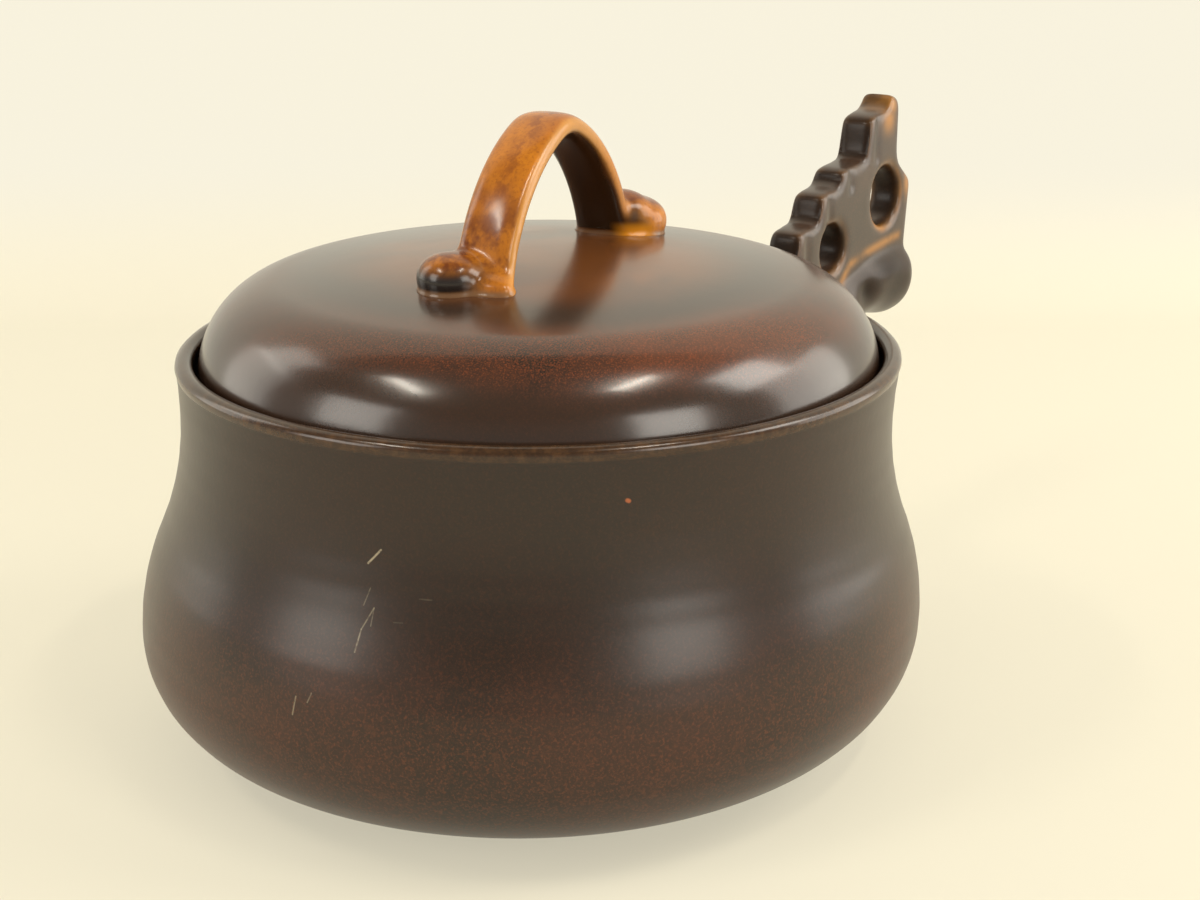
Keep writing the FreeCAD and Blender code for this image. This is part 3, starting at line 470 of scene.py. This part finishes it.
# The pot's wall: foot, belly, waist, rolled lip, then down inside past the ledge to the floor.
potShape = {
    "steps": 320, "spacing": 1.2, "markPitch": 7.0, "markDepth": 0.04, "wobble": 0.1,
    "rim": 107.0, "lean": 2.16, "leanToward": 125.1,
    "outside": [
        ("line", 0, 0, 66, 0), ("arc", 66, 28, 28, 28, -90, -62.85), ("line", 78.78, 3.08, 90.48, 9.08),
        ("arc", 77.7, 34, 28, 28, -62.85, 0), ("arc", 40.512, 34, 65.188, 65.188, 0, 23.08),
        ("arc", 173.774, 90.8, 79.674, 79.674, 203.08, 180), ("arc", 214.1, 90.8, 120, 120, 180, 173.7),
        ("arc", 92.9, 105.1, 2.25, 1.9, -38, 90),
    ],
    "inside": [
        ("arc", 92.9, 105, 2.4, 2, 90, 180), ("line", 90.5, 105, 91, 102.5), ("line", 91, 102.5, 91, 92.5),
        ("line", 91, 92.5, 84.9, 92.5),
        ("arc", 84.9, 91.1, 1.4, 1.4, 90, 180), ("line", 83.5, 91.1, 83.5, 89.04),
        ("line", 83.5, 89.04, 89.01, 82.5), ("arc", 173.774, 90.8, 85.174, 85.174, 185.59, 203.08),
        ("arc", 40.512, 34, 59.688, 59.688, 23.08, 0), ("arc", 77.7, 34, 22.5, 22.5, 0, -62.85),
        ("arc", 66, 28, 22.5, 22.5, -62.85, -90), ("line", 66, 5.5, 0, 5.5),
    ],
}
potWall = traceProfile(potShape["outside"], potShape["spacing"])
potProfile = traceProfile(potShape["outside"] + potShape["inside"], potShape["spacing"])
potPiece = addPiece("bellied_pot", turnProfile("bellied_pot", potProfile, potShape), potMaterial,
                    "pot", "pot_body")
print("pot turned:", len(potPiece.data.polygons), "faces")


# The lid: a wide crown arc, a tight shoulder arc down to the seat, the flange, then the hollow.
lidShape = {
    "steps": 300, "spacing": 1.2, "markPitch": 6.0, "markDepth": 0.025, "wobble": 0.08,
    "rim": 107.0, "lean": 0.0, "leanToward": 0.0, "crownRadius": 494.0, "crownTop": 130.5,
    "outline": [
        ("arc", 0, -363.5, 494, 494, 90, 82.05), ("arc", 64.9, 101.49, 24.6, 24.5, 82.05, -20.77),
        ("line", 87.81, 92.8, 82, 92.8), ("line", 82, 92.8, 82, 86.4), ("arc", 80.4, 86.4, 1.6, 1.6, 0, -90),
        ("line", 80.4, 84.8, 78.6, 84.8), ("arc", 78.6, 86.4, 1.6, 1.6, -90, -180),
        ("line", 77, 86.4, 77, 92.8), ("line", 77, 92.8, 84.21, 104.2),
        ("arc", 64.9, 101.49, 19.5, 19.5, 8, 82.05), ("arc", 0, -363.5, 489, 489, 82.05, 90),
    ],
}
lidProfile = traceProfile(lidShape["outline"], lidShape["spacing"])
lidPiece = addPiece("domed_lid", turnProfile("domed_lid", lidProfile, lidShape), lidMaterial,
                    "lid", "lid_shell")
print("lid turned:", len(lidPiece.data.polygons), "faces")


# The loop: half of the strap's centre line from the top down, the balls pressed onto its feet
# (place along, across and up, three radii: the near knob, the far knob and the clay that fills
# the far knob out towards the strap), and how far its skin is softened.
loopShape = {
    "turn": 10.5, "shift": -2.4, "top": 164.0, "crownBend": 14.0, "crownAngle": 20.0, "sideBend": 50.0,
    "legAngle": 64.0, "legDrop": 4.6, "flareBend": 8.0, "flareAngle": 12.0, "tail": 3.5,
    "width": 16.2, "thickness": 7.4, "footWidth": 21.5, "dish": 0.55, "square": 2.5, "around": 96,
    "knobs": [((-40.0, 4.0, 131.4), (8.6, 9.0, 6.5)), ((45.0, -5.4, 131.6), (10.4, 11.4, 7.2)),
              ((40.6, -4.4, 134.2), (8.6, 9.8, 6.8))],
    "knobSquare": 2.2, "knobAround": 48, "voxel": 0.5, "smoothing": 44, "contact": 0.9, "contactHeight": 1.6,
}


def loopStations(shape):
    # A crown arc, a wider side arc, a short straight leg, an arc that flares outwards and a
    # round end. Columns: tilt, out, height, width and thickness of the section.
    crown, lean = shape["crownBend"], math.radians(shape["crownAngle"])
    side, leg = shape["sideBend"], math.radians(shape["legAngle"])
    tilt = np.linspace(0, lean, 16)
    onCrown = np.column_stack([tilt, crown * np.sin(tilt), shape["top"] - crown * (1 - np.cos(tilt))])
    tilt = np.linspace(lean, leg, 48)[1:]
    onSide = np.column_stack([tilt, onCrown[-1, 1] + side * (np.sin(tilt) - math.sin(lean)),
                              onCrown[-1, 2] - side * (math.cos(lean) - np.cos(tilt))])
    drop = np.linspace(0, shape["legDrop"], 6)[1:]
    onLeg = np.column_stack([0 * drop + leg, onSide[-1, 1] + drop * math.cos(leg),
                             onSide[-1, 2] - drop * math.sin(leg)])
    flare, level = shape["flareBend"], math.radians(shape["flareAngle"])
    tilt = np.linspace(leg, level, 24)[1:]
    onFlare = np.column_stack([tilt, onLeg[-1, 1] + flare * (math.sin(leg) - np.sin(tilt)),
                               onLeg[-1, 2] - flare * (np.cos(tilt) - math.cos(leg))])
    run = np.sin(np.linspace(0, math.pi / 2, 10)[1:])
    onTail = np.column_stack([0 * run + level, onFlare[-1, 1] + shape["tail"] * run * math.cos(level),
                              onFlare[-1, 2] - shape["tail"] * run * math.sin(level)])
    path = np.vstack([onCrown, onSide, onLeg, onFlare, onTail])
    grown = np.concatenate([np.zeros(len(onCrown) + len(onSide)),
                            np.linspace(0, 1, len(onLeg) + len(onFlare)) ** 1.5, 0 * run + 1])
    full = np.concatenate([np.ones(len(path) - len(run)), np.sqrt(np.maximum(1 - run ** 2, 0))])
    width = (shape["width"] + (shape["footWidth"] - shape["width"]) * grown) * full ** 0.5
    return np.column_stack([path, width, shape["thickness"] * full])


def roundPower(values, power):
    return np.sign(values) * np.abs(values) ** (2 / power)


def strapMesh(shape):
    # A flat section with round edges is carried along both halves of the centre line. Its
    # outer face is slightly dished between the two edges.
    half = loopStations(shape)
    mirrored = half * np.array([-1, -1, 1, 1, 1])
    path = np.vstack([mirrored[:0:-1], half])
    tilt, out, height, width, thick = (path[:, k][:, None] for k in range(5))
    around = np.arange(shape["around"])[None, :] / shape["around"] * 2 * math.pi
    across = roundPower(np.cos(around), shape["square"])
    upward = roundPower(np.sin(around), shape["square"])
    lift = thick / 2 * upward - shape["dish"] * (1 - across ** 2) * (upward > 0) * (thick > 0)
    points = np.stack([out + lift * np.sin(tilt), width / 2 * across + shape["shift"] + 0 * lift,
                       height + lift * np.cos(tilt)], axis=-1)
    return gridMesh("strap", points, loopV=True)


def knobMesh(shape, place, radii):
    # A squat ball: full in plan, flattened a little above and below.
    rise = np.linspace(-math.pi / 2, math.pi / 2, 31)[:, None]
    about = np.arange(shape["knobAround"])[None, :] / shape["knobAround"] * 2 * math.pi
    out = roundPower(np.cos(rise), shape["knobSquare"])
    up = roundPower(np.sin(rise), shape["knobSquare"])
    points = np.stack([place[0] + radii[0] * out * np.cos(about), place[1] + radii[1] * out * np.sin(about),
                       place[2] + radii[2] * up + 0 * about], axis=-1)
    return gridMesh("knob", points, loopV=True)


def softenMesh(points, edges, times):
    # Moves every point half way to the mean of its neighbours, several times over.
    count = np.bincount(edges.ravel(), minlength=len(points)).astype(float)[:, None]
    for _ in range(times):
        total = np.zeros_like(points)
        for axis in range(3):
            total[:, axis] = np.bincount(edges[:, 0], points[edges[:, 1], axis], len(points))
            total[:, axis] += np.bincount(edges[:, 1], points[edges[:, 0], axis], len(points))
        points = 0.5 * points + 0.5 * total / count
    return points


def kneadMesh(name, meshes, shape):
    # Closed meshes are put together and remeshed into one skin of even squares, which is then
    # softened so that every edge is as round as wiped clay. Returns the mesh and its edges.
    work = bmesh.new()
    for mesh in meshes:
        work.from_mesh(mesh)
    bmesh.ops.remove_doubles(work, verts=work.verts, dist=cadMergeGap)
    bmesh.ops.recalc_face_normals(work, faces=work.faces)
    joined = bpy.data.meshes.new(name)
    work.to_mesh(joined)
    work.free()
    holder = bpy.data.objects.new("remesh_holder", joined)
    bpy.context.scene.collection.objects.link(holder)
    remesh = holder.modifiers.new("even", "REMESH")
    remesh.mode = "VOXEL"
    remesh.voxel_size = shape["voxel"] * mm
    done = bpy.data.meshes.new_from_object(holder.evaluated_get(bpy.context.evaluated_depsgraph_get()))
    bpy.data.objects.remove(holder)
    done.name = name
    done.materials.clear()
    edges = np.empty(len(done.edges) * 2, dtype=np.int64)
    done.edges.foreach_get("vertices", edges)
    edges = edges.reshape(-1, 2)
    placeVertices(done, softenMesh(readVectors(done, "co") / mm, edges, shape["smoothing"]))
    return done, edges


def loopMesh(shape):
    # The strap and the clay at its feet become one skin, which is then turned on the lid.
    parts = [strapMesh(shape)] + [knobMesh(shape, place, radii) for place, radii in shape["knobs"]]
    mesh, _ = kneadMesh("strap_loop", parts, shape)
    points = readVectors(mesh, "co") / mm
    turn = math.radians(shape["turn"])
    turned = np.column_stack([points[:, 0] * math.cos(turn) - points[:, 1] * math.sin(turn),
                              points[:, 0] * math.sin(turn) + points[:, 1] * math.cos(turn), points[:, 2]])
    placeVertices(mesh, turned)
    return mesh


def finishLoop(mesh, shape):
    # Just above the dome the skin flares outwards, as glaze does where two pieces join. Masks
    # by place: painted shade in dark brown low on the near knob, rust on the legs, brown outside
    # the far leg, a streak down the middle, painted shade inside, paler sides, a thin line and an
    # amber pool at the joint.
    points = readVectors(mesh, "co") / mm
    normal = readVectors(mesh, "normal")
    dome = lidShape["crownTop"] - lidShape["crownRadius"] + np.sqrt(
        lidShape["crownRadius"] ** 2 - points[:, 0] ** 2 - points[:, 1] ** 2)
    above = points[:, 2] - dome
    flat = normal[:, :2] / np.maximum(np.linalg.norm(normal[:, :2], axis=1), 0.2)[:, None]
    push = shape["contact"] * np.clip(1 - above / shape["contactHeight"], 0, 1) ** 2
    points[:, :2] += flat * push[:, None]
    placeVertices(mesh, points)

    turn = math.radians(shape["turn"])
    along = points[:, 0] * math.cos(turn) + points[:, 1] * math.sin(turn)
    across = -points[:, 0] * math.sin(turn) + points[:, 1] * math.cos(turn) - shape["shift"]
    sideways = -normal[:, 0] * math.sin(turn) + normal[:, 1] * math.cos(turn)
    outward = (normal[:, 0] * math.cos(turn) + normal[:, 1] * math.sin(turn)) * np.sign(along)
    reach = np.abs(along)
    knob = smoothStep(36, 42, reach)
    low = 1 - smoothStep(4.0, 8.5, above)
    inner = np.maximum(smoothStep(0.2, 0.75, -outward), smoothStep(0.2, 0.7, -normal[:, 2]))
    joint = 1 - smoothStep(0.6, 1.8, above)
    nearSide = smoothStep(-3, -8, across)
    front = smoothStep(-7, 1, across)
    # Painted shade: dark brown on the low front of the near knob.
    setAttribute(mesh, "toeShade", knob * low * (1 - 0.3 * joint) * front * (along < 0))
    setAttribute(mesh, "footRust", 0.9 * (1 - smoothStep(10, 30, above)) * smoothStep(2, 6, above)
                 * (1 - smoothStep(0.5, 0.9, np.abs(sideways))))
    farSide = smoothStep(-3, 4, across + 0.5 * along - 12)
    setAttribute(mesh, "farBrown", 0.8 * smoothStep(6, 22, along) * farSide)
    setAttribute(mesh, "streak", np.exp(-((across + 1.5) / 3.2) ** 2) * (1 - inner) * (1 - knob))
    # Painted shade on the faces that look inward or down, under the arch.
    setAttribute(mesh, "underShade", inner * (1 - knob) * (1 - 0.8 * joint))
    setAttribute(mesh, "sideEdge", smoothStep(0.4, 0.85, np.abs(sideways)) * (1 - 0.9 * knob)
                 * (1 - 0.6 * smoothStep(8, 26, along)))
    setAttribute(mesh, "jointLine", 0.85 * joint)
    setAttribute(mesh, "glazePool", nearSide * (1 - smoothStep(1.5, 4.5, above))
                 * (1 - smoothStep(37, 43, reach)))


loopPiece = addPiece("strap_loop", loopMesh(loopShape), loopMaterial, "lid", "lid_handle")
finishLoop(loopPiece.data, loopShape)
print("loop bent:", len(loopPiece.data.polygons), "faces")


# The stepped handle, all as distance out along X and height: holes (with radius and how much
# gold their rim shows), the ridge over the lobe, gold places on the tip and the outer corner,
# the steps (low and high end), the hollow above the lobe, the lobe's drooping underside, dark
# places (with their share), and the corner of the tip that leans away from the pot.
sideShape = {
    "voxel": 0.7, "smoothing": 22, "rootPush": 2.6, "widen": 16,
    "holes": [(152.2, 105.9, 7.8, 0.3), (188.5, 117.8, 10.0, 0.75)],
    "ridge": [(157.0, 92.5), (164.0, 98.5), (175.0, 100.6), (199.0, 103.0)],
    "tips": [((190.5, 148.5), (3.0, 3.5)), ((188.0, 143.5), (4.0, 4.0)), ((204.0, 121.0), (2.5, 5.0))],
    "steps": [(130.0, 103.0, 114.2), (144.4, 114.2, 124.3), (158.2, 124.3, 130.7), (175.8, 130.7, 145.8)],
    "undercut": 1.7, "fluteGap": 4.6, "fluteWidth": 2.0, "fluteDepth": 0.55,
    "hollow": (172.5, 88.0, 6.5, 5.0, 1.8), "droop": (196.0, 11.0, 96.0, 82.0, 3.0),
    "shades": [((172.5, 88.5), (10.0, 7.0), 1.0), ((186.0, 93.0), (13.0, 5.5), 0.85),
               ((195.0, 88.0), (15.0, 12.0), 0.75)],
    "tipLean": 5.0, "tipFrom": (143, 152), "tipAcross": (193, 184),
}


def sideMesh(shape):
    # A copy of the solid's own mesh is kneaded, then pressed in beside the steps and above the
    # lobe. Its root is pushed into the pot's wall. Bulges are found against a softer copy.
    done, edges = kneadMesh("stepped_handle", [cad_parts["pot_handle"].data], shape)
    points = readVectors(done, "co") / mm
    normal = readVectors(done, "normal")
    face = smoothStep(3.0, 5.0, np.abs(points[:, 1]))
    inward = np.zeros(len(points))
    for x, low, high in shape["steps"]:
        along = smoothStep(low - 3, low + 1, points[:, 2]) * smoothStep(high + 1, high - 3, points[:, 2])
        groove = np.exp(-((points[:, 0] - x - shape["fluteGap"]) / shape["fluteWidth"]) ** 2)
        inward += shape["fluteDepth"] * along * groove
        riser = smoothStep(0.5, 0.9, -normal[:, 0]) * np.exp(-((points[:, 0] - x) / 4) ** 4)
        points[:, 0] += shape["undercut"] * riser * along * smoothStep(high, low, points[:, 2])
    hx, hz, wide, tall, deep = shape["hollow"]
    inward += deep * np.exp(-((points[:, 0] - hx) / wide) ** 2 - ((points[:, 2] - hz) / tall) ** 2)
    points[:, 1] -= np.sign(points[:, 1]) * inward * face
    tipTop = smoothStep(*shape["tipFrom"], points[:, 2]) * smoothStep(*shape["tipAcross"], points[:, 0])
    points[:, 0] += shape["tipLean"] * tipTop
    dx, spread, top, full, deep = shape["droop"]
    points[:, 2] -= deep * np.exp(-((points[:, 0] - dx) / spread) ** 2) * smoothStep(top, full, points[:, 2])
    placeVertices(done, points)
    softer = softenMesh(points, edges, shape["widen"])
    bulge = np.einsum("ij,ij->i", points - softer, readVectors(done, "normal"))
    setAttribute(done, "edgeBreak", sideBreaks(points, bulge, shape))
    shade = 0.75 * smoothStep(0.4, 0.85, -normal[:, 0]) * smoothStep(96, 100, points[:, 2])
    for (sx, sz), (wide, tall), share in shape["shades"]:
        spot = np.exp(-((points[:, 0] - sx) / wide) ** 2 - ((points[:, 2] - sz) / tall) ** 2)
        shade = np.maximum(shade, share * spot * face)
    setAttribute(done, "deepShade", shade)
    clear = np.hypot(points[:, 0], points[:, 1]) - np.interp(points[:, 2], potWall[:, 1], potWall[:, 0])
    points[:, 0] -= shape["rootPush"] * (1 - smoothStep(0.5, 6, clear))
    placeVertices(done, points)
    return done


def sideBreaks(points, bulge, shape):
    # Gold shows on the rims of the holes, along the ridge over the lobe, on the tip and the
    # outer corner, and faintly wherever the skin bulges.
    x, z = points[:, 0], points[:, 2]
    face = smoothStep(2.5, 5.0, np.abs(points[:, 1]))
    mark = 0.22 * smoothStep(0.1, 0.45, bulge)
    for hx, hz, radius, share in shape["holes"]:
        ring = np.exp(-((np.hypot(x - hx, z - hz) - radius - 1.0) / 1.2) ** 2)
        below = 0.45 + 0.55 * smoothStep(4, -7, z - hz)
        mark = np.maximum(mark, share * ring * face * below)
    for (x0, z0), (x1, z1) in zip(shape["ridge"], shape["ridge"][1:]):
        length2 = (x1 - x0) ** 2 + (z1 - z0) ** 2
        t = np.clip(((x - x0) * (x1 - x0) + (z - z0) * (z1 - z0)) / length2, 0, 1)
        away = np.hypot(x - x0 - t * (x1 - x0), z - z0 - t * (z1 - z0))
        mark = np.maximum(mark, 0.75 * np.exp(-(away / 1.5) ** 2) * face)
    for (tipX, tipZ), (wide, tall) in shape["tips"]:
        mark = np.maximum(mark, 0.8 * np.exp(-((x - tipX) / wide) ** 2 - ((z - tipZ) / tall) ** 2))
    return mark


sidePiece = addPiece("stepped_handle", sideMesh(sideShape), sideMaterial, "pot", "pot_handle")
print("side handle softened:", len(sidePiece.data.polygons), "faces")


studio = {
    "floor": fromSrgb(244, 237, 214), "wall": fromSrgb(251, 245, 225), "air": (1.0, 0.965, 0.88, 1.0),
    "reach": 2.5, "heading": 35.1, "behind": 0.44, "bend": 0.1, "height": 2.0, "aim": 0.08,
    "fill": 0.66, "horizon": 0.44, "overhead": 0.12, "paper": 0.76,
    "wallGlow": 0.97, "floorShare": 0.55, "wallShare": 0.97, "wallFrom": 0.07,
}


def sweepMesh(shape):
    # A flat floor runs away from the camera, bends up through a quarter circle and goes on as
    # a wall. Local axes: away from the camera and across; turned to the camera's heading.
    flat = np.linspace(-shape["reach"], shape["behind"], 30)
    angle = np.linspace(0, math.pi / 2, 20)[1:]
    up = np.linspace(shape["bend"], shape["height"], 12)[1:]
    curve = shape["behind"] + shape["bend"] * np.sin(angle)
    away = np.concatenate([flat, curve, np.full(len(up), shape["behind"] + shape["bend"])])[:, None]
    rise = np.concatenate([0 * flat, shape["bend"] * (1 - np.cos(angle)), up])[:, None]
    across = np.linspace(-shape["reach"], shape["reach"], 24)[None, :]
    turn = math.radians(shape["heading"])
    grid = np.stack([away * math.cos(turn) + across * math.sin(turn),
                     away * math.sin(turn) - across * math.cos(turn), rise + 0 * across], axis=-1)
    return gridMesh("studio_sweep", grid / mm)


def makeSweepMaterial(shape):
    # Matt paper that takes the pot's shadow. Seen directly or in a reflection, part of the
    # floor and nearly all of the wall show their own colour, which keeps them even and pale.
    material, w, shader, place = startMaterial("paleSweep")
    height = w.add("ShaderNodeSeparateXYZ", {"Vector": place}).outputs["Z"]
    colour = w.mix(w.remap(height, 0.0, shape["wallFrom"]), shape["floor"], shape["wall"])
    w.feed(shader.inputs["Base Color"], w.mix(1 - shape["paper"], colour, (0.0, 0.0, 0.0, 1.0)))
    shader.inputs["Roughness"].default_value = 0.85
    shader.inputs["Specular IOR Level"].default_value = 0.1
    glow = w.add("ShaderNodeEmission", {"Color": colour, "Strength": shape["wallGlow"]})
    rays = w.add("ShaderNodeLightPath").outputs
    seen = w.math("MAXIMUM", rays["Is Camera Ray"], rays["Is Glossy Ray"])
    own = w.remap(height, 0.0, shape["wallFrom"], shape["floorShare"], shape["wallShare"])
    share = w.math("MULTIPLY", seen, own)
    blend = w.add("ShaderNodeMixShader", {0: share, 1: shader.outputs[0], 2: glow.outputs[0]})
    output = next(node for node in w.tree.nodes if node.type == "OUTPUT_MATERIAL")
    w.feed(output.inputs["Surface"], blend.outputs[0])
    return material


sweep = bpy.data.objects.new("studio_sweep", sweepMesh(studio))
bpy.context.scene.collection.objects.link(sweep)
sweep.data.shade_smooth()
sweep.data.materials.append(makeSweepMaterial(studio))

windowLight = (1.0, 0.96, 0.88)
tubeLight = (1.0, 0.93, 0.8)

# Each soft box stands on a circle round the pot: turn from the camera's side, to the right
# when positive, rise above the table, roll about its own beam, distance, size and radiance.
softBoxes = {
    "leftWindow": {"turn": -60, "rise": 18, "roll": 0, "away": 1.3, "size": (0.54, 0.56), "glow": 5.0},
    "rightWindow": {"turn": 43, "rise": 17, "roll": 0, "away": 1.3, "size": (0.5, 0.5), "glow": 6.6},
    "rightHigh": {"turn": 87, "rise": 38, "roll": 0, "away": 1.3, "size": (0.5, 0.42), "glow": 8.5},
    "leftHigh": {"turn": -108, "rise": 35, "roll": 0, "away": 1.3, "size": (0.4, 0.4), "glow": 2.6},
    "rightSide": {"turn": 100, "rise": 14, "roll": 0, "away": 0.9, "size": (0.6, 0.5), "glow": 3.2},
    "leftSide": {"turn": -106, "rise": 14, "roll": 0, "away": 0.9, "size": (0.4, 0.5), "glow": 1.8},
    "leftTube": {"turn": -57, "rise": 51, "roll": -28, "away": 1.3, "size": (0.38, 0.05), "glow": 50.0,
                 "colour": tubeLight},
    "rightTube": {"turn": 48, "rise": 59, "roll": 28, "away": 1.3, "size": (0.38, 0.05), "glow": 62.0,
                  "colour": tubeLight},
    "frontFill": {"turn": -6, "rise": 55, "roll": 0, "away": 1.5, "size": (1.0, 0.8), "glow": 0.9,
                  "reflected": False},
}


def addSoftBox(name, box):
    data = bpy.data.lights.new(name, "AREA")
    data.shape = "RECTANGLE"
    data.size, data.size_y = box["size"]
    data.energy = box["glow"] * math.pi * data.size * data.size_y
    data.color = box.get("colour", windowLight)
    turn = math.radians(studio["heading"] + 180 + box["turn"])
    rise = math.radians(box["rise"])
    heading = Vector((math.cos(rise) * math.cos(turn), math.cos(rise) * math.sin(turn), math.sin(rise)))
    rolled = (-heading).to_track_quat("-Z", "Y") @ Quaternion((0, 0, 1), math.radians(box["roll"]))
    item = bpy.data.objects.new(name, data)
    item.location = Vector((0, 0, studio["aim"])) + heading * box["away"]
    item.rotation_euler = rolled.to_euler()
    item.visible_camera = False
    item.visible_glossy = box.get("reflected", True)
    bpy.context.scene.collection.objects.link(item)


for boxName, box in softBoxes.items():
    addSoftBox(boxName, box)


def makeWorld(shape):
    # Plain for the camera, an even fill for matt surfaces, and for reflections a room that
    # is bright at the horizon and dim overhead.
    world = bpy.data.worlds.new("paleRoom")
    world.use_nodes = True
    world.node_tree.nodes.clear()
    w = NodeWriter(world.node_tree)
    rays = w.add("ShaderNodeLightPath").outputs
    direction = w.add("ShaderNodeTexCoord").outputs["Generated"]
    up = w.add("ShaderNodeSeparateXYZ", {"Vector": direction}).outputs["Z"]
    room = w.remap(up, 0.05, 0.6, shape["horizon"], shape["overhead"])
    extra = w.math("SUBTRACT", room, shape["fill"])
    level = w.math("MULTIPLY_ADD", rays["Is Glossy Ray"], extra, shape["fill"])
    level = w.math("MAXIMUM", level, rays["Is Camera Ray"])
    colour = w.mix(rays["Is Camera Ray"], shape["air"], shape["wall"])
    glow = w.add("ShaderNodeBackground", {"Color": colour, "Strength": level})
    w.add("ShaderNodeOutputWorld", {"Surface": glow.outputs[0]})
    return world


bpy.context.scene.world = makeWorld(studio)
print("studio lit")


# Fitted to the outlines in the photograph: place in metres and the camera's three axes.
cameraLook = {
    "place": (-0.3872, -0.2918, 0.2330), "right": (0.57513, -0.81806, -0.00128),
    "up": (0.25286, 0.17628, 0.95131), "forward": (0.77801, 0.54745, -0.30824), "lens": 56.468,
}
cameraData = bpy.data.cameras.new("photoCamera")
cameraData.lens = cameraLook["lens"]
cameraData.sensor_width = 36.0
cameraData.clip_start = 0.01
camera = bpy.data.objects.new("photoCamera", cameraData)
right, up, forward = (Vector(cameraLook[k]).normalized() for k in ("right", "up", "forward"))
facing = Matrix((right, up, -forward)).transposed().to_4x4()
camera.matrix_world = Matrix.Translation(Vector(cameraLook["place"])) @ facing
bpy.context.scene.collection.objects.link(camera)
bpy.context.scene.camera = camera
bpy.context.scene.view_settings.view_transform = "Standard"
